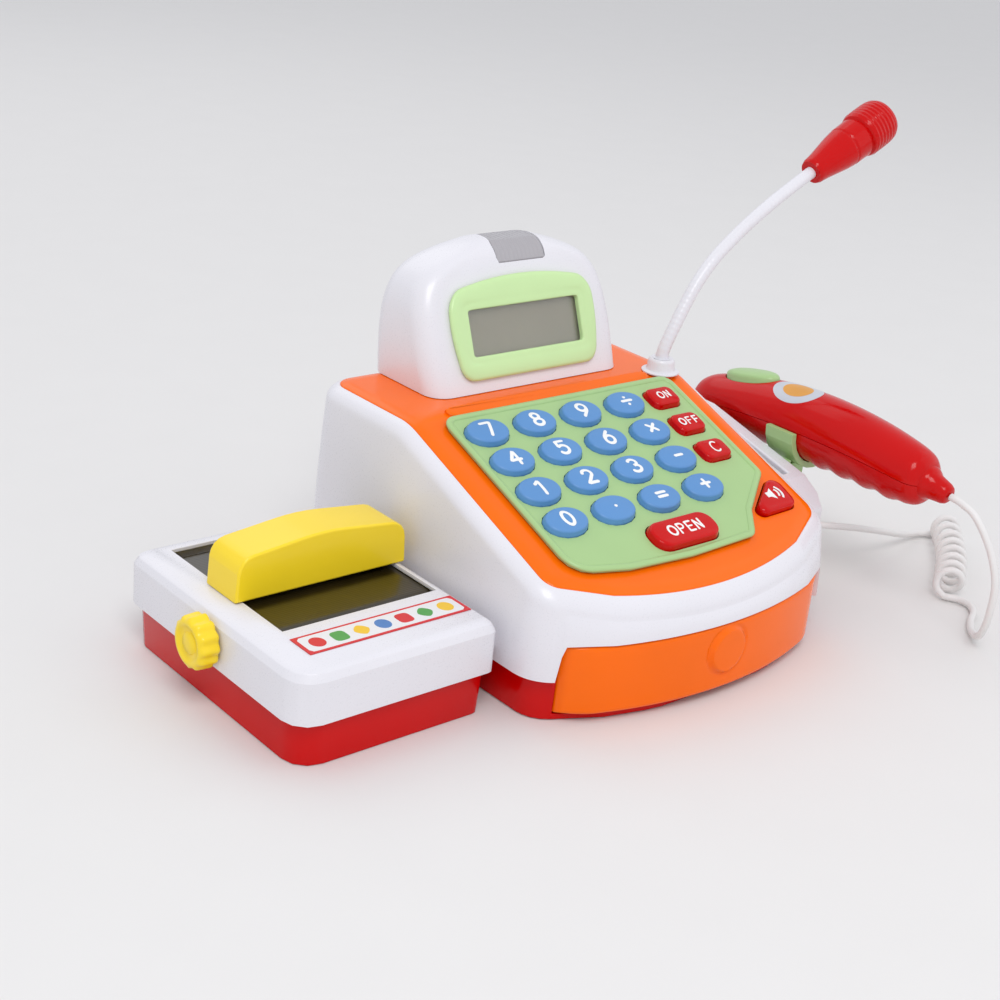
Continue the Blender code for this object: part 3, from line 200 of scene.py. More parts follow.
def loft(name, rings, material, body, stands_for=(), loop=False, sharp=38.0):
    """A closed skin over rings of points (rows, columns, xyz); its ends close in a fan."""
    rings = np.asarray(rings, float)
    rows, cols = rings.shape[:2]
    points = rings.reshape(-1, 3)
    if not loop:
        points = np.vstack([points, rings[0].mean(0), rings[-1].mean(0)])
    return finish_mesh(name, points, rings_faces(rows, cols, loop), material, body, stands_for, sharp)


def round_rings(path, radii, cols=16):
    """Circles of the given radii square to a path; each circle's frame is carried on from the last."""
    path = np.asarray(path, float)
    way = np.gradient(path, axis=0)
    way /= np.linalg.norm(way, axis=1)[:, None]
    side = np.cross(way[0], (0.0, 0.3, 1.0))
    sides = []
    for w in way:
        side = side - w * (side @ w)
        side = side / np.linalg.norm(side)
        sides.append(side)
    sides = np.array(sides)
    ups = np.cross(way, sides)
    a = np.linspace(0, 2 * np.pi, cols, endpoint=False)
    around = sides[:, None] * np.cos(a)[None, :, None] + ups[:, None] * np.sin(a)[None, :, None]
    return path[:, None] + around * np.broadcast_to(np.asarray(radii, float), len(path))[:, None, None]


def coil_line():
    """A helix round a gently curved line: radius times cosine up, radius times sine sideways."""
    middle = through([COIL_START, COIL_MIDDLE, COIL_END], 0.5)
    t = np.linspace(0, 1, int(COIL_TURNS * STEPS_A_TURN))
    at = t * (len(middle) - 1)
    axis = np.stack([np.interp(at, np.arange(len(middle)), middle[:, k]) for k in range(3)], -1)
    way = np.gradient(axis, axis=0)
    way /= np.linalg.norm(way, axis=1)[:, None]
    up = np.array([0.0, 0.0, 1.0])
    across = np.cross(way, up)
    angle = np.pi + 2 * np.pi * COIL_TURNS * t
    return axis + COIL_CENTRE_R * (np.cos(angle)[:, None] * up + np.sin(angle)[:, None] * across)


# Soft PVC: slightly yellowed white with a satin surface and faint drawing lines.
soft_pvc = moulded("white_soft_pvc", "#E9E6E4", rough=0.42, marks=0.04, grain_mm=0.5, grain=0.03)
coil = coil_line()
cord_path = through(np.vstack([REGISTER_LEAD, coil[::2], [coil[-1]], SCANNER_LEAD]), 1.0)
cord = loft("curly_cord", round_rings(cord_path, CORD_R, 12), soft_pvc, None, sharp=60)
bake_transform(cord)
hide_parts("cord_register_lead", "cord_coil", "cord_scanner_lead")

# ==== Floor and light ====
# A pale seamless table under a wide soft light from the left front, a weaker one from the right and one
# from behind. All three point at the middle of the toy.
TABLE_HALF, TABLE_Z = 30, -0.0003
table_corners = [(x * TABLE_HALF, y * TABLE_HALF, TABLE_Z) for x, y in ((-1, -1), (1, -1), (1, 1), (-1, 1))]
floor_mesh = bpy.data.meshes.new("table")
floor_mesh.from_pydata(table_corners, [], [(0, 1, 2, 3)])
floor = bpy.data.objects.new("table", floor_mesh)
bpy.context.collection.objects.link(floor)
floor_mesh.materials.append(moulded("pale_paper", "#E4E2E0", rough=0.8, marks=0.01, grain_mm=2.0,
                                    grain=0.0))
world = bpy.data.worlds.new("studio")
world.use_nodes = True
sky = world.node_tree.nodes["Background"]
sky.inputs["Color"].default_value = (0.93, 0.95, 1.0, 1.0)
sky.inputs["Strength"].default_value = 0.8
bpy.context.scene.world = world
for label, place, size, power in (("key", (-0.55, -0.75, 1.25), 0.6, 7.5),
                                  ("fill", (0.9, -0.5, 0.7), 1.2, 1.4),
                                  ("back", (0.1, 1.1, 1.1), 1.0, 2.0)):
    light_data = bpy.data.lights.new(label, "AREA")
    light_data.size = size
    light_data.energy = power
    light = bpy.data.objects.new(label, light_data)
    light.location = place
    light.rotation_euler = (Vector((0, 0.02, 0.06)) - Vector(place)).to_track_quat("-Z", "Y").to_euler()
    bpy.context.collection.objects.link(light)

# ==== Red bottom tray, battery cover and the parts inside ====
# The red ABS tray closes the register from below and holds the battery cover. The circuit board, its
# rubber switch mat and the speaker are fixed under the deck.


def skin(node, material, body=None, width=0.6, segments=3, sharp=32.0, warp=None, name=None):
    """A merged copy of a CAD mesh with its edges rounded; it takes that node's place."""
    mesh = frame_node(node).data.copy()
    work = bmesh.new()
    work.from_mesh(mesh)
    bmesh.ops.remove_doubles(work, verts=work.verts, dist=2e-6)
    bmesh.ops.dissolve_limit(work, angle_limit=np.radians(0.6), verts=work.verts, edges=work.edges)
    work.to_mesh(mesh)
    work.free()
    mesh.materials.clear()
    mesh.materials.append(material)
    mesh.shade_smooth()
    mesh.set_sharp_from_angle(angle=np.radians(sharp))
    piece = bpy.data.objects.new(name or node + "_moulding", mesh)
    bpy.context.collection.objects.link(piece)
    bevel = piece.modifiers.new("edge", "BEVEL")
    bevel.width = width * MM
    bevel.segments = segments
    bevel.limit_method = "ANGLE"
    bevel.angle_limit = np.radians(sharp)
    bevel.harden_normals = True
    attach(piece, body or body_with(node))
    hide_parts(node)
    return piece


def frame_node(node):
    """The CAD object that carries a node's name."""
    return next(o for o in bpy.data.objects if o.get("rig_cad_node") == node)


def body_with(node):
    """The name of the moving body that holds a node."""
    return next(b for b, nodes in frame["record"]["behaviour"]["bodies"].items() if node in nodes)


def repaint(node, material):
    """A CAD node keeps its own mesh and takes a new finish."""
    mesh = frame_node(node).data
    if not len(mesh.materials):
        mesh.materials.append(material)
    for k in range(len(mesh.materials)):
        mesh.materials[k] = material


# Glossy red ABS, injection moulded: even deep colour, soft highlights, faint flow marks.
red_abs = moulded("red_abs", "#CC0202", rough=0.14, marks=0.08, grain_mm=0.5, grain=0.015,
                  coat=0.05, shine=0.22)
phenolic = moulded("phenolic_board", "#9A6A2E", rough=0.55, marks=0.2, grain_mm=1.2, grain=0.1)
silicone = moulded("grey_silicone", "#A4A4A4", rough=0.6, marks=0.05, grain_mm=0.8, grain=0.1)
paper_cone = moulded("black_paper_cone", "#1B1A1A", rough=0.85, marks=0.2, grain_mm=0.4, grain=0.4)
skin("base_tray", red_abs, width=0.5, segments=2)
repaint("battery_cover", red_abs)
repaint("circuit_board", phenolic)
repaint("key_membrane", silicone)
repaint("speaker", paper_cone)

# ==== White shell ====
# One white ABS moulding with soft swelling walls. Its top edge rolls in under the orange deck, and its
# front has the mouth that the drawer slides through.
HALF_WIDTH, FRONT_Y, BACK_Y = 76.5, -66.0, 98.0
SLOPE = np.radians(20.8)
KEY_TOP_Z, PLATEAU_Z, DECK_DROP = 74.0, 84.5, 5.0
ROLL_IN, ROLL_DOWN, DECK_EDGE = 10.5, 7.0, 5.2
BOW_HALF, BOW_RISE = 68.0, 14.0
BOW_R = (BOW_HALF ** 2 + BOW_RISE ** 2) / (2 * BOW_RISE)
SHELL_LOW_Z, MOUTH_TOP_Z, MOUTH_HALF = 17.0, 31.0, 69.0
FLARE, SWELL, LIP_R, SHELL_WALL = 2.5, 0.5, 0.8, 2.2


def rounded_loop(corners, steps=9):
    """A closed line with a round at each corner: an arc of the corner's radius that touches both sides."""
    p = np.array([c[:2] for c in corners], float)
    r = np.array([max(c[2], 1e-3) for c in corners], float)
    a, b = np.roll(p, 1, 0) - p, np.roll(p, -1, 0) - p
    a /= np.linalg.norm(a, axis=1)[:, None]
    b /= np.linalg.norm(b, axis=1)[:, None]
    half = np.arccos(np.clip((a * b).sum(1), -0.9999999, 0.9999999)) / 2
    middle = a + b
    middle /= np.maximum(np.linalg.norm(middle, axis=1), 1e-9)[:, None]
    centre = p + middle * (r / np.sin(half))[:, None]
    u = p + a * (r / np.tan(half))[:, None] - centre
    v = p + b * (r / np.tan(half))[:, None] - centre
    angle = (np.pi - 2 * half)[:, None, None]
    t = np.linspace(0, 1, steps)[None, :, None]
    arc = (np.sin((1 - t) * angle) * u[:, None] + np.sin(t * angle) * v[:, None]) / np.sin(angle)
    return (centre[:, None] + arc).reshape(-1, 2)


def evenly(loop, count):
    """A closed line read at equal steps along its length."""
    closed = np.vstack([loop, loop[:1]])
    along = np.concatenate([[0], np.cumsum(np.linalg.norm(np.diff(closed, axis=0), axis=1))])
    at = np.linspace(0, along[-1], count, endpoint=False)
    return np.stack([np.interp(at, along, closed[:, k]) for k in range(2)], -1)


def outward(loop):
    """Unit normals of a closed line drawn anticlockwise: the way along it, turned right."""
    way = np.roll(loop, -1, 0) - np.roll(loop, 1, 0)
    way /= np.linalg.norm(way, axis=1)[:, None]
    return np.stack([way[:, 1], -way[:, 0]], -1)


def bow_y(x):
    """The bowed front: a circle that rises by BOW_RISE over half a chord of BOW_HALF."""
    return FRONT_Y + BOW_R - np.sqrt(BOW_R ** 2 - x ** 2)


def body_loop():
    """The register's plan: straight sides, rounded corners and the bowed front."""
    x = np.linspace(-50.9, 50.9, 21)
    bow = np.stack([x, bow_y(x), 0 * x], -1).tolist()
    return rounded_loop([(-HALF_WIDTH, -45.8, 12.6)] + bow
                        + [(HALF_WIDTH, -45.8, 12.6), (HALF_WIDTH, BACK_Y, 14), (-HALF_WIDTH, BACK_Y, 14)])


def deck_z(y):
    """The deck's side view: the lower of a slope and a level, blended over a short curve."""
    slope = KEY_TOP_Z + np.tan(SLOPE) * y - DECK_DROP / np.cos(SLOPE)
    gap = np.maximum(2.0 - np.abs(slope - PLATEAU_Z), 0) / 2.0
    return np.minimum(slope, PLATEAU_Z) - gap ** 2 * 0.5


def roll(inset):
    """How far the rolled edge has dropped at an inset from the wall: a quarter of an ellipse."""
    reach = np.clip((ROLL_IN - np.asarray(inset, float)) / ROLL_IN, 0, 1)
    return ROLL_DOWN * (1 - np.sqrt(np.maximum(1 - reach ** 2, 0)))


# White ABS from the mould: cool white, semi-gloss, with a barely seen flow pattern.
white_abs = moulded("white_abs", "#E6E4E9", rough=0.28, marks=0.025, grain_mm=0.6, grain=0.02, coat=0.1)
plan = evenly(body_loop(), 420)
plan_out = outward(plan)
for smoothing in range(6):
    plan_out = (np.roll(plan_out, 1, 0) + 2 * plan_out + np.roll(plan_out, -1, 0)) / 4
plan_out /= np.linalg.norm(plan_out, axis=1)[:, None]
wall_top = deck_z(plan[:, 1]) - ROLL_DOWN
mouth = np.clip(MOUTH_HALF - np.abs(plan[:, 0]), 0, 1) * (plan[:, 1] < -40)
wall_low = SHELL_LOW_Z + mouth * (MOUTH_TOP_Z - SHELL_LOW_Z)
# From the ledge under the deck out over the roll: how far in from the wall, and how far below the roll.
shell_rows = []
for inset, tuck in ((9.4, 3.4), (6.8, 1.9), (5.5, 0.8), (4.95, 0.14), (4.2, 0), (3.4, 0), (2.6, 0),
                    (1.9, 0), (1.2, 0), (0.6, 0), (0.2, 0), (0, 0)):
    ring = plan - plan_out * inset
    shell_rows.append(np.column_stack([ring, deck_z(ring[:, 1]) - roll(inset) - tuck]))
for t in np.linspace(0.04, 1, 22):
    out = FLARE * t + SWELL * np.sin(np.pi * t)
    shell_rows.append(np.column_stack([plan + plan_out * out, wall_top + (wall_low - wall_top) * t]))
for bend in np.linspace(0, np.pi / 2, 4)[1:]:
    shell_rows.append(np.column_stack([plan + plan_out * (FLARE - LIP_R * (1 - np.cos(bend))),
                                       wall_low + LIP_R * (1 - np.sin(bend))]))
shell_rows = np.array(shell_rows)
inner_rows = shell_rows[::-1].copy()
inner_rows[..., :2] -= plan_out[None] * SHELL_WALL
inner_rows[-11:, :, 2] -= 1.8
loft("shell", np.vstack([shell_rows, inner_rows]), white_abs, "register", ("body_shell",),
     loop=True)

# ==== Orange deck ====
# The orange ABS top plate: the slope under the keys and the level under the hood, with a rolled edge. It
# snaps on the shell, and openings let the keys and the volume button through.


def on_panel(x, s, n):
    """A point of the sloping panel: x across, s up the slope and n out of it, turned about X."""
    x, s, n = np.broadcast_arrays(np.asarray(x, float), s, n)
    return np.stack([x, s * np.cos(SLOPE) - n * np.sin(SLOPE),
                     KEY_TOP_Z + s * np.sin(SLOPE) + n * np.cos(SLOPE)], -1)


def cut_with(piece, cutters):
    """Takes the cutters' volume out of a piece, then removes them."""
    for cutter in cutters:
        tool = piece.modifiers.new("opening", "BOOLEAN")
        tool.operation = "DIFFERENCE"
        tool.object = cutter
        tool.solver = "EXACT"
    bpy.context.view_layer.update()
    done = bpy.data.meshes.new_from_object(piece.evaluated_get(bpy.context.evaluated_depsgraph_get()))
    old = piece.data
    piece.modifiers.clear()
    piece.data = done
    bpy.data.meshes.remove(old)
    done.shade_smooth()
    done.set_sharp_from_angle(angle=np.radians(34))
    for cutter in cutters:
        bpy.data.objects.remove(cutter)


def panel_loop(growth, count=300):
    """The keypad panel's outline: a rounded sheet with a notch at its right front."""
    g = growth
    return evenly(rounded_loop([
        (-59.5 - g, -47 - g, 11), (-36, -52.2 - g, 30), (-5, -54 - g, 60), (29 + 0.4 * g, -52.8 - g, 5),
        (38 + 0.7 * g, -41 - 0.7 * g, 7), (59.5 + g, -24.5 - 0.8 * g, 4), (59.5 + g, 37.5 + g, 5),
        (-59.5 - g, 37.5 + g, 5)]), count)


def volume_loop(growth, count=60):
    """A rounded triangle that points to the left front."""
    g = growth
    return evenly(rounded_loop([(64.5 + g, -25 + 1.9 * g, 4), (36 - 3 * g, -45.5 - 0.8 * g, 3),
                                (63 + g, -44.5 - 1.1 * g, 4)])[::-1], count)


# Glossy orange ABS: strong warm colour with broad soft highlights.
orange_abs = moulded("orange_abs", "#FF6E00", rough=0.18, marks=0.05, grain_mm=0.5, grain=0.015,
                     coat=0.05, shine=0.22)
flat_edge = plan - plan_out * ROLL_IN
deck_middle = np.array([0.0, 16.0])
DECK_THICK = 2.4
# Outwards over the top, down the rolled edge, round its lip and back under.
deck_rows = []
for w in np.linspace(0.03, 1, 40):
    ring = deck_middle + w * (flat_edge - deck_middle)
    deck_rows.append(np.column_stack([ring, deck_z(ring[:, 1])]))
for inset in (9.6, 9.0, 8.4, 7.8, 7.2, 6.6, 6.1, 5.7, 5.45):
    ring = plan - plan_out * inset
    deck_rows.append(np.column_stack([ring, deck_z(ring[:, 1]) - roll(inset)]))
for inset, lower in ((DECK_EDGE, 0.25), (DECK_EDGE, 0.6), (5.6, 1.2), (6.8, 2.2)):
    ring = plan - plan_out * inset
    deck_rows.append(np.column_stack([ring, deck_z(ring[:, 1]) - roll(5.4) - lower]))
for w in np.linspace(1, 0.03, 20):
    ring = deck_middle + w * (flat_edge - deck_middle)
    deck_rows.append(np.column_stack([ring, deck_z(ring[:, 1]) - DECK_THICK]))
deck = loft("deck", deck_rows, orange_abs, "register", ("deck_panel",))
cut_with(deck, [loft(name, [on_panel(*hole.T, n) for n in (-12, 4)], orange_abs, None)
                for name, hole in (("panel_opening", panel_loop(-1.6, 120)),
                                   ("volume_opening", volume_loop(0.4)))])
# A shallow raised step crosses the deck behind the keypad.
step_loop = evenly(rounded_loop([(-56, 39.6, 3), (56, 39.6, 3), (53, 44.6, 3), (-53, 44.6, 3)]), 120)
step_middle = step_loop.mean(0)
loft("deck_step", [on_panel(*(step_middle + (step_loop - step_middle) * k).T, n) for k, n in
                   ((1.0, -6.0), (1.0, -4.6), (0.992, -4.3), (0.96, -4.2), (0.5, -4.2))],
     orange_abs, "register")

# ==== Drawer ====
# An orange ABS tray with two bays slides out of the front. Its bowed face is glued on, and a round finger
# pad stands out of the middle. A white latch inside holds it shut.
PAD_Z, PAD_R, PAD_OUT = 19.5, 8.8, 1.3
FACE_HALF, FACE_LOW_Z, FACE_TOP_Z, FACE_THICK, FACE_ROUND = 67.6, 3.2, 30.6, 3.0, 1.8
x = np.linspace(-FACE_HALF, FACE_HALF, 181)[None, :]
z = np.linspace(FACE_LOW_Z, FACE_TOP_Z, 49)[:, None]
edge = np.minimum(FACE_HALF - np.abs(x), np.minimum(z - FACE_LOW_Z, FACE_TOP_Z - z))
soft = FACE_ROUND - np.sqrt(np.maximum(FACE_ROUND ** 2 - np.maximum(FACE_ROUND - edge, 0) ** 2, 0))
# The pad's side is a smooth step, and a fine groove runs round it.
away = np.hypot(x, z - PAD_Z)
step = np.clip(PAD_R + 0.5 - away, 0, 1)
groove = np.clip(1 - np.abs(away - PAD_R - 1.2) / 0.7, 0, 1) * 0.5
pad = step * step * (3 - 2 * step) * PAD_OUT - groove
corner = np.maximum(np.abs(x) - 55.2, 0)
face_y = bow_y(x) - 2.35 + corner ** 2 * 0.022 + soft - pad
front_points = np.stack(np.broadcast_arrays(x, face_y, z), -1)
back_points = front_points.copy()
back_points[..., 1] = face_y + FACE_THICK + pad - soft
sheet = np.concatenate([front_points.reshape(-1, 3), back_points.reshape(-1, 3)])
rows, cols = front_points.shape[:2]
first = (np.arange(rows - 1)[:, None] * cols + np.arange(cols - 1)).reshape(-1)
quads = np.stack([first, first + 1, first + cols + 1, first + cols], -1)
border = np.concatenate([np.arange(cols), np.arange(2, rows + 1) * cols - 1,
                         np.arange(cols - 2, -1, -1) + (rows - 1) * cols, np.arange(rows - 2, 0, -1) * cols])
rim = np.stack([border, np.roll(border, -1), np.roll(border, -1) + rows * cols, border + rows * cols], -1)
finish_mesh("drawer_face", sheet, quads.tolist() + (quads[:, ::-1] + rows * cols).tolist() + rim.tolist(),
            orange_abs, "drawer", ("drawer_front",))
skin("drawer_tray", orange_abs, width=0.5)
repaint("drawer_latch", white_abs)

# ==== Keypad panel ====
# A thin leaf-green ABS plate over the deck's opening, pressed in round its edge. A rounded rim runs round
# it, and every key has its own hole.
green_abs = moulded("leaf_green_abs", "#A9CB8A", rough=0.34, marks=0.05, grain_mm=0.6, grain=0.03,
                    coat=0.05)
skin("keypad_panel", green_abs, width=0.25, segments=2)
rim_line = panel_loop(0.0, 360)
rim_out = outward(rim_line)
rim_rows = [on_panel(*(rim_line + rim_out * (-0.7 + 1.5 * np.cos(a))).T, -3.1 + 1.1 * np.sin(a))
            for a in np.linspace(0, 2 * np.pi, 12, endpoint=False)]
loft("keypad_rim", rim_rows, green_abs, "register", loop=True, sharp=70)

# ==== Number keys ====
# Sixteen blue ABS caps with crowned oval tops on springy rubber. Each legend is printed in thick white ink.
KEYS = (("key_7", "7"), ("key_8", "8"), ("key_9", "9"), ("key_divide", "divide"),
        ("key_4", "4"), ("key_5", "5"), ("key_6", "6"), ("key_times", "times"),
        ("key_1", "1"), ("key_2", "2"), ("key_3", "3"), ("key_minus", "minus"),
        ("key_0", "0"), ("key_point", "point"), ("key_equals", "equals"), ("key_plus", "plus"))
PITCH_X, PITCH_S, KEYS_X = 24, 17, -11


def oval(half_x, half_s, power=2.3, count=64):
    """A superellipse: cosine and sine, each raised to 2 over the power."""
    a = np.linspace(0, 2 * np.pi, count, endpoint=False)
    c, s = np.cos(a), np.sin(a)
    return np.stack([half_x * np.sign(c) * np.abs(c) ** (2 / power),
                     half_s * np.sign(s) * np.abs(s) ** (2 / power)], -1)


def cap(name, outline, x, s, top, crown, material, body, node, foot=-6.2):
    """A crowned button: a side that leans in a little, a quarter-round edge and a low domed top."""
    steps = [(0.0, foot), (0.0, -2.6), (0.25, top - 1.9), (0.45, top - 1.25)]
    bend = np.linspace(0.15, 1, 7) * np.pi / 2
    steps += np.stack([0.45 + 1.35 * (1 - np.cos(bend)), top - 1.25 + 1.05 * np.sin(bend)], -1).tolist()
    rings = [on_panel(*(outline(inset) + (x, s)).T, n) for inset, n in steps]
    crest = outline(1.8)
    rings += [on_panel(*(crest * w + (x, s)).T, top - 0.2 + crown * (1 - w ** 2))
              for w in (0.85, 0.66, 0.45, 0.2)]
    return loft(name, rings, material, body, (node,), sharp=50)


def arc(cx, cs, rx, rs, start, end, count=24):
    """Part of an ellipse from one angle to another, in degrees."""
    a = np.radians(np.linspace(start, end, count))
    return np.stack([cx + rx * np.cos(a), cs + rs * np.sin(a)], -1)


# Each sign as pen strokes in a box about 4 wide and 6 high. A nine is a six turned half round.
SIX = np.vstack([[(1.0, 2.9)], arc(0.9, -1.1, 2.7, 3.0, 130, 180, 8), arc(0, -1.1, 1.8, 1.8, 180, 530, 36)])
STROKES = {
    "0": [arc(0, 0, 1.75, 2.9, 90, 450, 40)],
    "1": [[(-1.2, 1.7), (0.5, 2.9), (0.5, -2.9)]],
    "2": [np.vstack([arc(0, 1.2, 1.75, 1.7, 165, -30), [(-1.8, -2.9), (1.9, -2.9)]])],
    "3": [np.vstack([arc(-0.1, 1.4, 1.6, 1.5, 150, -90), arc(-0.1, -1.4, 1.9, 1.5, 90, -150)])],
    "4": [[(0.9, -2.9), (0.9, 2.9), (-2.0, -1.1), (2.0, -1.1)]],
    "5": [np.vstack([[(1.6, 2.9), (-1.3, 2.9), (-1.55, 0.3)], arc(-0.1, -1.05, 1.95, 1.85, 125, -145)])],
    "6": [SIX],
    "7": [[(-1.9, 2.9), (1.8, 2.9), (-0.5, -2.9)]],
    "8": [arc(0, 1.45, 1.45, 1.45, 90, 450, 30), arc(0, -1.45, 1.8, 1.45, 90, 450, 30)],
    "9": [-SIX],
    "divide": [[(-2.0, 0), (2.0, 0)], [(0, 1.8), (0.01, 1.8)], [(0, -1.8), (0.01, -1.8)]],
    "times": [[(-1.6, -1.6), (1.6, 1.6)], [(-1.6, 1.6), (1.6, -1.6)]],
    "minus": [[(-1.5, 0), (1.5, 0)]],
    "plus": [[(-1.8, 0), (1.8, 0)], [(0, -1.8), (0, 1.8)]],
    "equals": [[(-1.8, 0.9), (1.8, 0.9)], [(-1.8, -0.9), (1.8, -0.9)]],
    "point": [[(0, 0), (0.01, 0)]],
    "C": [arc(0.3, 0, 2.1, 2.9, 50, 310)],
    "E": [[(1.6, 2.9), (-1.5, 2.9), (-1.5, -2.9), (1.6, -2.9)], [(-1.5, 0), (1.2, 0)]],
    "F": [[(1.6, 2.9), (-1.5, 2.9), (-1.5, -2.9)], [(-1.5, 0), (1.2, 0)]],
    "N": [[(-1.7, -2.9), (-1.7, 2.9), (1.7, -2.9), (1.7, 2.9)]],
    "O": [arc(0, 0, 2.2, 2.9, 90, 450, 40)],
    "P": [[(-1.5, -2.9), (-1.5, 2.9), (0.3, 2.9)], arc(0.2, 1.3, 1.6, 1.6, 90, -90),
          [(0.3, -0.3), (-1.5, -0.3)]],
}


def ink(name, signs, x, s, size, pen, height, body, material, spacing=5.2):
    """Thick printed strokes: each path carries a flat oval pen whose width closes in at both ends. The
    height above the panel comes from a point's place on the cap."""
    points, faces = [], []
    around = np.linspace(0, 2 * np.pi, 8, endpoint=False)
    ends = np.array([0.98, 0.8, 0.5]) * pen
    narrow = np.sqrt(pen ** 2 - ends ** 2)
    start = -(len(signs) - 1) * spacing / 2
    for k, sign in enumerate(signs):
        for path in STROKES[sign]:
            line = (np.asarray(path, float) + (start + k * spacing, 0)) * size
            run = np.concatenate([[0], np.cumsum(np.linalg.norm(np.diff(line, axis=0), axis=1))])
            at = np.linspace(0, run[-1], max(3, int(run[-1] / 0.3)))
            line = np.stack([np.interp(at, run, line[:, 0]), np.interp(at, run, line[:, 1])], -1)
            way = np.gradient(line, axis=0)
            way /= np.linalg.norm(way, axis=1)[:, None]
            wide = np.concatenate([narrow, np.full(len(line), pen), narrow[::-1]])
            line = np.vstack([line[0] - way[0] * ends[:, None], line, line[-1] + way[-1] * ends[::-1, None]])
            way = np.vstack([way[:1]] * 3 + [way] + [way[-1:]] * 3)
            side = np.stack([-way[:, 1], way[:, 0]], -1)
            flat = line[:, None] + side[:, None] * (wide[:, None] * np.cos(around))[..., None]
            lift = height(flat[..., 0], flat[..., 1]) + 0.13 * np.sin(around)[None]
            rings = on_panel(flat[..., 0] + x, flat[..., 1] + s, lift)
            first = sum(len(p) for p in points)
            points.append(np.vstack([rings.reshape(-1, 3), rings[0].mean(0), rings[-1].mean(0)]))
            faces += [[corner + first for corner in face] for face in rings_faces(*rings.shape[:2])]
    return finish_mesh(name, np.vstack(points), faces, material, body, sharp=70)


# Blue ABS, matt from fine spark erosion in the mould; white pad-printing ink, thick and satin.
blue_abs = moulded("blue_abs", "#5C92CC", rough=0.42, marks=0.06, grain_mm=0.4, grain=0.05)
white_ink = moulded("white_printing_ink", "#F4F4F2", rough=0.5, marks=0.03, grain_mm=0.3, grain=0.06)
for place, (node, sign) in enumerate(KEYS):
    key_x, key_s = KEYS_X + (place % 4 - 1.5) * PITCH_X, (1.5 - place // 4) * PITCH_S
    cap(node + "_top", lambda inset: oval(9.7 - inset, 7.0 - inset, 2.08), key_x, key_s, 0.0, 0.5, blue_abs,
        node + "_cap", node)
    ink(node + "_legend", [sign], key_x, key_s, 1.16, 0.7,
        lambda a, b: -0.16 + 0.5 * (1 - (a / 7.9) ** 2 - (b / 5.2) ** 2), node + "_cap", white_ink)

# ==== Red buttons ====
# Glossy red ABS caps: three at the side, a long one that opens the drawer and a three-cornered one for
# the volume, with a sound symbol. White ink again.


def soft_box(half_x, half_s, radius):
    """A rounded oblong about the middle, read at even steps."""
    corners = ((-1, -1), (1, -1), (1, 1), (-1, 1))
    return evenly(rounded_loop([(half_x * i, half_s * j, radius) for i, j in corners]), 72)


SIDE = (("button_on", "ON"), ("button_off", "OFF"), ("button_clear", "C"))
SIDE_X, SIDE_PITCH, OPEN_X, OPEN_S = 46, 16.7, -2, -43.5
for row, (node, signs) in enumerate(SIDE):
    side_s = (1.5 - row) * SIDE_PITCH
    cap(node + "_top", lambda inset: soft_box(7.6 - inset, 5.6 - inset, 3.2 - 0.5 * inset), SIDE_X, side_s,
        0.0, 0.35, red_abs, node + "_cap", node)
    ink(node + "_legend", signs, SIDE_X, side_s, 0.62 if len(signs) > 1 else 0.95, 0.4,
        lambda a, b: np.full_like(a, 0.05), node + "_cap", white_ink, 5.9)
cap("button_open_top", lambda inset: soft_box(16.5 - inset, 6.8 - inset, 5.8 - 0.7 * inset), OPEN_X, OPEN_S,
    0.3, 0.35, red_abs, "button_open_cap", "button_open")
ink("button_open_legend", "OPEN", OPEN_X, OPEN_S, 0.8, 0.5, lambda a, b: np.full_like(a, 0.36),
    "button_open_cap", white_ink, 5.6)
# The volume button's top lies below the deck's surface. A horn and two waves are printed on it.
VOLUME_PRINT = (-2.2, -1.98)
triangle = volume_loop(0.0)
centre = triangle.mean(0)
rings = [on_panel(*(centre + (triangle - centre) * k).T, n) for k, n in
         ((1.0, -7.0), (1.0, -4.2), (0.985, -3.3), (0.95, -2.7), (0.88, -2.35), (0.7, -2.2), (0.4, -2.12))]
loft("button_volume_top", rings, red_abs, "button_volume_cap", ("button_volume",), sharp=50)
a = np.linspace(-0.8, 0.8, 13)
for k, reach in enumerate((2.6, 4.4)):
    wave = reach * np.stack([np.cos(a), np.sin(a)], -1)
    way = np.gradient(wave, axis=0)
    way /= np.linalg.norm(way, axis=1)[:, None]
    side = np.stack([-way[:, 1], way[:, 0]], -1) * 0.42
    strip = np.vstack([wave + side, (wave - side)[::-1]]) + (54.6, -37.2)
    loft("volume_wave_%d" % k, [on_panel(*strip.T, n) for n in VOLUME_PRINT], white_ink, "button_volume_cap")
horn = np.array([(-3.2, -1.3), (-1.6, -1.3), (0.6, -3.0), (0.6, 3.0), (-1.6, 1.3), (-3.2, 1.3)])
horn += (54.0, -37.2)
loft("volume_horn", [on_panel(*horn.T, n) for n in VOLUME_PRINT], white_ink, "button_volume_cap")

# ==== Display hood ====
# A white ABS dome screwed to the deck. Its leaning face carries a pale green frame round a plain grey
# display behind a clear pane, and a smoky ribbed lamp lens sits in its crown.
HOOD_Y, HOOD_LEAN = 53.0, np.radians(22.0)
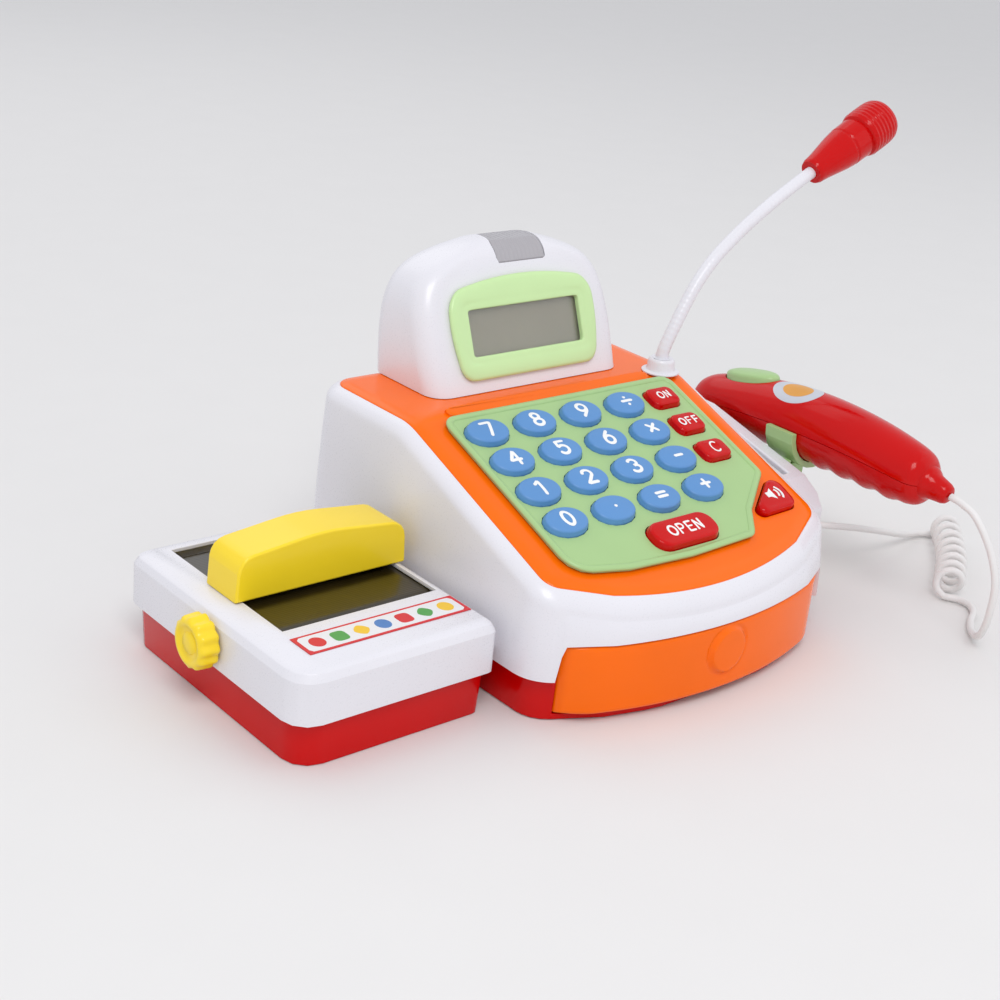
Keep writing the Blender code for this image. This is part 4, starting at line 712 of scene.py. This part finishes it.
# Height over the deck, half width, how far the front is set back from its leaning plane, and the rear's y.
HOOD = np.array([(0, 50, 0, 97), (15, 50.8, 0, 97), (27, 50.3, 0, 97), (35, 48.6, 0, 96.4),
                 (41, 45.6, 0, 95.5), (46, 40, 0, 94), (50, 30.5, 0.8, 92), (53.6, 17, 3.6, 88.5)])
hood_up = np.concatenate([np.linspace(0, 27, 10), np.linspace(29, 53.6, 26)])
smooth_hood = through(HOOD, 0.4)
hood_sizes = [np.interp(hood_up, smooth_hood[:, 0], smooth_hood[:, column]) for column in (1, 2, 3)]
hood_rows = []
for up, half, off, rear in zip(hood_up, *hood_sizes):
    front = HOOD_Y + off + up * np.tan(HOOD_LEAN)
    corner = min(8.5, (rear - front) / 2.2)
    ring = evenly(rounded_loop([(-half, front, corner), (half, front, corner), (half, rear, corner),
                                (-half, rear, corner)]), 200)
    hood_rows.append(np.column_stack([ring, np.full(200, PLATEAU_Z + 0.3 + up)]))
crown = hood_rows[-1]
crown_middle = crown[:, :2].mean(0)
for k in (0.75, 0.5, 0.2):
    hood_rows.append(np.column_stack([crown_middle + (crown[:, :2] - crown_middle) * k,
                                      crown[:, 2] + 1.1 * (1 - k ** 2)]))
hood = loft("hood", hood_rows, white_abs, "register", ("hood_shell",))


def on_hood(x, up, n):
    """A point of the hood's leaning face: x across, up the face and n out of it."""
    x, up, n = np.broadcast_arrays(np.asarray(x, float), up, n)
    return np.stack([x, HOOD_Y + up * np.sin(HOOD_LEAN) - n * np.cos(HOOD_LEAN),
                     PLATEAU_Z + up * np.cos(HOOD_LEAN) + n * np.sin(HOOD_LEAN)], -1)


def by_angle(loop, centre, count=240):
    """A closed line read at equal angles about a centre, so two lines can be joined point to point."""
    a = np.arctan2(loop[:, 1] - centre[1], loop[:, 0] - centre[0])
    order = np.argsort(a)
    want = np.linspace(-np.pi, np.pi, count, endpoint=False)
    return np.stack([np.interp(want, a[order], loop[order, k], period=2 * np.pi) for k in range(2)], -1)


WINDOW_HALF, WINDOW_LOW, WINDOW_TOP = 29, 14.5, 33
window_middle = np.array([0.0, (WINDOW_LOW + WINDOW_TOP) / 2])
frame_outer, frame_step, frame_inner = [
    by_angle(evenly(rounded_loop(corners), 900), window_middle) for corners in (
        [(-34.5, 5.5, 7), (34.5, 5.5, 7), (38, 24, 70), (36.5, 40.5, 10), (0, 47, 150), (-36.5, 40.5, 10),
         (-38, 24, 70)],
        [(-32.2, 11.6, 3.5), (32.2, 11.6, 3.5), (32.2, 36, 3.5), (-32.2, 36, 3.5)],
        [(-WINDOW_HALF, WINDOW_LOW, 1.2), (WINDOW_HALF, WINDOW_LOW, 1.2), (WINDOW_HALF, WINDOW_TOP, 1.2),
         (-WINDOW_HALF, WINDOW_TOP, 1.2)])]
hood_hole = window_middle + (frame_inner - window_middle) * 1.085
cut_with(hood, [loft("display_opening", [on_hood(*hood_hole.T, n) for n in (-8.5, 6.0)], white_abs, None)])
# Pale green ABS: the frame rises from the hood, runs flat to the window and turns in round it.
pale_green = moulded("pale_green_abs", "#CBEAA9", rough=0.32, marks=0.04, grain_mm=0.6, grain=0.02,
                     coat=0.1)
frame_rows = [on_hood(*(frame_outer + (frame_step - frame_outer) * k).T, n) for k, n in
              ((0.0, 0.25), (-0.06, 0.9), (-0.06, 1.6), (0.0, 2.15), (0.15, 2.4), (0.4, 2.5), (0.9, 2.5),
               (1.0, 2.35))]
frame_rows += [on_hood(*(frame_step + (frame_inner - frame_step) * k).T, n) for k, n in
               ((0.3, 2.35), (0.8, 2.3), (0.92, 2.2), (0.97, 2.0), (1.0, 1.6), (1.0, 0.2))]
loft("display_frame", frame_rows, pale_green, "register", ("display_bezel",), loop=True,
     sharp=55)
# Plain display glass: warm grey, faintly mottled, under a clear polystyrene pane.
display_grey = moulded("display_glass", "#C0B8A0", rough=0.3, marks=0.08, grain_mm=1.5, grain=0.0, coat=0.1)
repaint("display_module", display_grey)


def clear_styrene(name, colour, rough, through_share, ribs_mm=0.0):
    """Moulded polystyrene that lets a share of the light through, with ribs ribs_mm apart in its surface
    or, where that is 0, long soft flow lines."""
    made, tree, place = new_finish(name)
    if ribs_mm:
        lines = add(tree, "ShaderNodeTexWave", [("Vector", place)], wave_type="BANDS", bands_direction="X",
                    Scale=2 * np.pi / (20.0 * ribs_mm * MM), Distortion=0.0)
    else:
        lines = add(tree, "ShaderNodeTexNoise", [("Vector", place)], Scale=40.0, Detail=1.0)
    bump = add(tree, "ShaderNodeBump", [("Height", lines.outputs["Fac"])],
               Strength=0.35 if ribs_mm else 0.03, Distance=0.0006)
    shader = add(tree, "ShaderNodeBsdfPrincipled", [("Normal", bump.outputs["Normal"])])
    shader.inputs["Base Color"].default_value = srgb(colour)
    shader.inputs["Roughness"].default_value = rough
    shader.inputs["IOR"].default_value = 1.59
    shader.inputs["Transmission Weight"].default_value = through_share
    add(tree, "ShaderNodeOutputMaterial", [("Surface", shader.outputs["BSDF"])])
    return made


repaint("display_window", clear_styrene("clear_styrene", "#F2F2EE", 0.06, 0.95))
# Smoky polystyrene with ribs about 2 mm apart.
smoked = clear_styrene("smoked_styrene", "#B4B0B4", 0.2, 0.12, 2.2)
skin("lamp_cover", smoked, width=0.5)


def at_heights(outline, heights):
    """The same flat outline at each height."""
    return [np.column_stack([outline, np.full(len(outline), z)]) for z in heights]


lamp_hole = evenly(rounded_loop([(-8.9, 71.6, 1), (16.9, 71.6, 1), (16.9, 90.4, 1), (-8.9, 90.4, 1)]), 60)
cut_with(hood, [loft("lamp_opening", at_heights(lamp_hole, (121.0, 150.0)), white_abs, None)])

# ==== Gooseneck microphone ====
# A white socket screwed to the deck holds a flexible white stalk, and a glossy red head is pushed on its
# end. The head is round, with two grooves and fine rings near its end.
STALK = [(62.5, 42.5, 87), (62.6, 42.5, 92.5), (64.2, 42.5, 97), (67.6, 42.6, 103.5), (72.3, 43, 111.5),
         (79, 43.5, 121.3), (87.6, 44, 130.2), (98.7, 45, 137.8), (109.6, 45, 145.2), (122.3, 45, 152.7),
         (133.9, 45, 158.8), (143.5, 45, 163.6)]
stalk_line = through(STALK, 0.6)
along = np.concatenate([[0], np.cumsum(np.linalg.norm(np.diff(stalk_line, axis=0), axis=1))])
STALK_R, STALK_RIB, STALK_RIB_PITCH = 2.72, 0.05, 2.4
stalk_r = STALK_R + STALK_RIB * np.cos(along * 2 * np.pi / STALK_RIB_PITCH)
loft("stalk", round_rings(stalk_line, stalk_r, 20), white_abs, "microphone", ("mic_stalk",),
     sharp=70)
tip = stalk_line[-1]
ahead = (stalk_line[-1] - stalk_line[-2]) / np.linalg.norm(stalk_line[-1] - stalk_line[-2])
# The head's distance along and radius, from its neck over two grooves to its domed end.
head = np.array([(0, 5.3), (1.2, 5.9), (6, 6.5), (12, 7.6), (17, 8.5), (21, 9.0), (21.4, 8.7), (22, 8.7),
                 (22.4, 9.1), (30, 9.3), (30.4, 8.7), (31.4, 8.7), (31.8, 9.9), (33.4, 10.4), (38, 10.45),
                 (43, 10.4), (45.6, 10.1), (47.6, 9.2), (48.9, 7.2), (49.6, 4.6), (49.95, 1.6)])
head_at = np.concatenate([np.linspace(0.0, 48.5, 150), np.linspace(48.6, 49.95, 14)])
ringed = (head_at > 33.5) & (head_at < 46)
head_r = np.interp(head_at, head[:, 0], head[:, 1]) + ringed * 0.14 * np.cos(head_at * 2 * np.pi / 2.1)
loft("microphone_head", round_rings(tip + ahead * head_at[:, None], head_r, 64), red_abs, "microphone",
     ("mic_head",), sharp=50)
socket = [(8.0, 0.15), (8.0, 0.6), (7.2, 0.9), (6.3, 1.2), (5.9, 2.2), (5.7, 4.6), (5.4, 5.5), (4.9, 6.0),
          (4.0, 6.1), (3.2, 5.9)]
socket_path = [(*STALK[0][:2], PLATEAU_Z + up) for r, up in socket]
loft("microphone_socket", round_rings(socket_path, [r for r, up in socket], 48), white_abs, "register",
     ("mic_socket",))

# ==== Card reader and scanner cradle ====
# The white card reader is a box screwed to the side wall with a long slot in its top. The leaf-green
# cradle hooks on it and holds the scanner in two saddles.
reader = skin("card_reader", white_abs, width=1.6, segments=4)
points = np.empty(len(reader.data.vertices) * 3)
reader.data.vertices.foreach_get("co", points)
points = points.reshape(-1, 3) / MM
# The box is lower towards its back: heights above 30 mm are pressed down in proportion.
low_back = 9.0 * np.clip((points[:, 1] + 22) / 45, 0, 1)
points[:, 2] -= low_back * np.clip((points[:, 2] - 30) / np.maximum(deck_z(points[:, 1]) - 39, 5), 0, 1)
reader.data.vertices.foreach_set("co", (points * MM).reshape(-1))
reader.data.update()
skin("scanner_cradle", green_abs, width=0.5, segments=3)
skin("cord_gland", white_abs, width=0.3, segments=2)

# ==== Hand scanner ====
# Two glossy red ABS half shells, screwed together along a fine seam, with finger waves under the grip, a
# leaf-green trigger, a smoky lens in the nose, a soft red bush at the tail and an oval silver label.
SCAN_X, SCAN_Z = 116.2, 66.0
SCAN = np.array([(64, 6.8), (61.5, 9), (56, 10.9), (46, 12.2), (32, 13.5), (18, 14.4), (5, 14.8),
                 (-12, 14.8), (-30, 14.2), (-45, 13.2), (-57, 11.8), (-61.5, 9.5), (-64, 5)])
SEAM = 0.12
TRIGGER_Y, TRIGGER_TILT, TRIGGER_TOP = 34.0, np.radians(-11.0), 16.0
scan_smooth = through(SCAN, 0.5)


def scan_bow(y):
    """The scanner's middle line drops as the square of the distance from its highest point."""
    return SCAN_Z - 5 * ((y + 10) / 62) ** 2


def scan_radius(y):
    """The scanner's radius along its length."""
    return np.interp(-y, -scan_smooth[:, 0], scan_smooth[:, 1])


def on_trigger(a, b, n):
    """A point on the trigger: a across, b along it and n out, turned about X by its tilt."""
    a, b, n = np.broadcast_arrays(np.asarray(a, float), b, n)
    return np.stack([SCAN_X + a, TRIGGER_Y + b * np.cos(TRIGGER_TILT) - n * np.sin(TRIGGER_TILT),
                     scan_bow(TRIGGER_Y) + b * np.sin(TRIGGER_TILT) + n * np.cos(TRIGGER_TILT)], -1)


scan_y = np.concatenate([np.linspace(64, 60, 10), np.linspace(59.4, -57, 110), np.linspace(-57.6, -64, 14)])
turn = np.linspace(0, np.pi, 49)
halves = {}
for name, sign, node in (("scanner_top", 1, "scanner_upper"), ("scanner_bottom", -1, "scanner_lower")):
    radius = scan_radius(scan_y)[:, None] * np.ones_like(turn)
    if sign < 0:
        grip = np.clip((-6 - scan_y) / 6, 0, 1) * np.clip((scan_y + 58) / 5, 0, 1)
        wave = grip * (0.5 - 0.6 * np.cos((scan_y + 6) * 2 * np.pi / 12))
        radius = radius + wave[:, None] * np.sin(turn) ** 2
    half_z = sign * (np.maximum(radius * np.sin(turn), 0.0) + SEAM)
    flat_x = np.linspace(-0.92, 0.92, 13)[None] * radius[:, :1]
    across = np.concatenate([radius * np.cos(turn), flat_x], 1) + SCAN_X
    height = np.concatenate([half_z, np.full_like(flat_x, sign * SEAM)], 1) + scan_bow(scan_y)[:, None]
    rings = np.stack(np.broadcast_arrays(across, scan_y[:, None], height), -1)
    halves[node] = loft(name, rings, red_abs, "scanner", (node,), sharp=48)
trigger_oval = oval(6.5, 14.0, 2.3, 72)
trigger_hole = [on_trigger(*(trigger_oval * 1.05).T, n) for n in (2.0, 30.0)]
cut_with(halves["scanner_upper"], [loft("trigger_opening", trigger_hole, red_abs, None)])
trigger_rows = [on_trigger(*(trigger_oval * k).T, TRIGGER_TOP + n) for k, n in
                ((1.0, -11.0), (1.0, -2.8), (0.985, -2.0), (0.94, -1.35), (0.86, -0.85), (0.72, -0.4),
                 (0.5, -0.1), (0.2, 0.05))]
loft("trigger_cap", trigger_rows, green_abs, "trigger", ("scanner_trigger",), sharp=50)
bush = np.array([(-60.5, 7.4), (-63.2, 7.4), (-64.6, 6.6), (-66.0, 5.6), (-69.0, 5.0), (-71.6, 4.5),
                 (-73.0, 3.8), (-73.6, 2.9), (-73.4, 1.7)])
loft("scanner_bush", round_rings([(SCAN_X, y, scan_bow(y)) for y in bush[:, 0]], bush[:, 1], 40), red_abs,
     "scanner", ("scanner_cord_bush",), sharp=60)
repaint("scanner_lens", smoked)
# Metallised paper label under a clear film: cool silver with a plain amber oval inside.
label_a = np.linspace(0, 2 * np.pi, 64, endpoint=False)
label_film = moulded("silver_label_film", "#C9CDD6", rough=0.3, marks=0.1, grain_mm=0.4, grain=0.03)
label_ink = moulded("warm_label_ink", "#E8A13A", rough=0.35, marks=0.2, grain_mm=2.0, grain=0.02)
LABEL_Y, LABEL_HALF, LABEL_SWEEP, LABEL_TURN = 8.0, 12.0, 0.62, -0.22
for name, size, lift, finish in (("scanner_label", 1.0, 0.10, label_film),
                                 ("scanner_label_field", 0.6, 0.16, label_ink)):
    rows = []
    for k, out in [(k, lift) for k in np.linspace(0.1, 1.0, 8)] + [(1.0, 0.0)]:
        y = LABEL_Y + LABEL_HALF * size * k * np.cos(label_a)
        a = LABEL_SWEEP * size * k * np.sin(label_a) + LABEL_TURN
        r = scan_radius(y) + out
        rows.append(np.stack([SCAN_X + r * np.sin(a), y, scan_bow(y) + SEAM + r * np.cos(a)], -1))
    loft(name, rows, finish, "scanner", sharp=60)

# ==== Conveyor ====
# A white ABS housing on a red base, hooked to the register by two tongues. A dark glossy belt runs over
# two white rollers and is driven by a yellow side knob. A yellow bridge spans it, and a printed strip of
# plain shapes is stuck along its front.
skin("conveyor_base", red_abs, width=0.4, segments=2)
skin("conveyor_housing", white_abs, width=1.6, segments=4)
for node in ("front_roller", "rear_roller", "drive_roller"):
    repaint(node, white_abs)
yellow_abs = moulded("yellow_abs", "#FFDD1E", rough=0.3, marks=0.05, grain_mm=0.5, grain=0.015, coat=0.15)
skin("scan_bridge", yellow_abs, width=1.6, segments=4)


def belt_finish():
    """Thin polished belt sheet: near-black brown with cross ribs 1.2 mm apart and cloudy dull patches."""
    made, tree, place = new_finish("dark_belt_sheet")
    ribs = add(tree, "ShaderNodeTexWave", [("Vector", place)], wave_type="BANDS", bands_direction="Y",
               Scale=2 * np.pi / (20.0 * 1.2 * MM), Distortion=0.4)
    cloud = add(tree, "ShaderNodeTexNoise", [("Vector", place)], Scale=60.0, Detail=4.0)
    tone = add(tree, "ShaderNodeValToRGB", [("Fac", cloud.outputs["Fac"])])
    tone.color_ramp.elements[0].color = srgb("#1B1506")
    tone.color_ramp.elements[1].color = srgb("#33290D")
    gloss = add(tree, "ShaderNodeMapRange", [("Value", cloud.outputs["Fac"])])
    gloss.inputs["To Min"].default_value = 0.22
    gloss.inputs["To Max"].default_value = 0.36
    bump = add(tree, "ShaderNodeBump", [("Height", ribs.outputs["Fac"])], Strength=0.12, Distance=0.0002)
    shader = add(tree, "ShaderNodeBsdfPrincipled", [("Base Color", tone.outputs["Color"]),
                                                    ("Roughness", gloss.outputs["Result"]),
                                                    ("Normal", bump.outputs["Normal"])])
    shader.inputs["Coat Weight"].default_value = 0.4
    shader.inputs["Coat Roughness"].default_value = 0.15
    add(tree, "ShaderNodeOutputMaterial", [("Surface", shader.outputs["BSDF"])])
    return made


skin("conveyor_belt", belt_finish(), width=0.2, segments=2, sharp=50)
# The knob's outline as x and radius; its rim has twelve flutes.
knob = [(-168.7, 6.0), (-168.75, 9.2), (-169.3, 9.9), (-170.2, 10.0), (-174.6, 9.8), (-175.6, 9.5),
        (-176.3, 8.8), (-176.55, 7.6), (-176.4, 6.6), (-175.6, 6.0), (-175.5, 4.2), (-176.2, 3.6),
        (-176.3, 1.0)]
KNOB_Y, KNOB_Z, FLUTE = 22, 26.4, 0.45
knob_a = np.linspace(0, 2 * np.pi, 144, endpoint=False)
rows = []
for x, r in knob:
    on_rim, fluted = 8.7 < r < 10.1, 8.7 < r < 10.1 and x > -176.0
    ring_r = r - FLUTE * on_rim + FLUTE * fluted * np.cos(12 * knob_a)
    rows.append(np.stack([np.full_like(ring_r, x), KNOB_Y + ring_r * np.cos(knob_a),
                          KNOB_Z + ring_r * np.sin(knob_a)], -1))
loft("belt_knob", rows, yellow_abs, "belt_drive", ("conveyor_knob",), sharp=50)
strip_red = moulded("red_printed_film", "#D8202A", rough=0.35, marks=0.05, grain_mm=0.4, grain=0.02)
skin("information_strip", strip_red, width=0.08, segments=1)
strip_pale = moulded("pale_printed_film", "#E9E8EA", rough=0.35, marks=0.03, grain_mm=0.4, grain=0.02)
inks = [strip_red] + [
    moulded(colour + "_printed_film", code, rough=0.35, marks=0.05, grain_mm=0.4, grain=0.02)
    for colour, code in (("green", "#4FA04A"), ("yellow", "#F3C52C"), ("blue", "#4A7FC0"))]
field = evenly(rounded_loop([(-154.6, -20.9, 1.6), (-88.8, -20.9, 1.6), (-88.8, -10.6, 1.6),
                             (-154.6, -10.6, 1.6)]), 80)
loft("strip_field", at_heights(field, (37.30, 37.38)), strip_pale, "register")
for place in range(7):
    shape = oval(3.0, 3.3, (2.0, 3.4, 1.5)[place % 3], 32) + (-149.0 + place * 9.1, -15.8)
    loft("strip_mark_%d" % place, at_heights(shape, (37.36, 37.44)), inks[place % 4], "register")
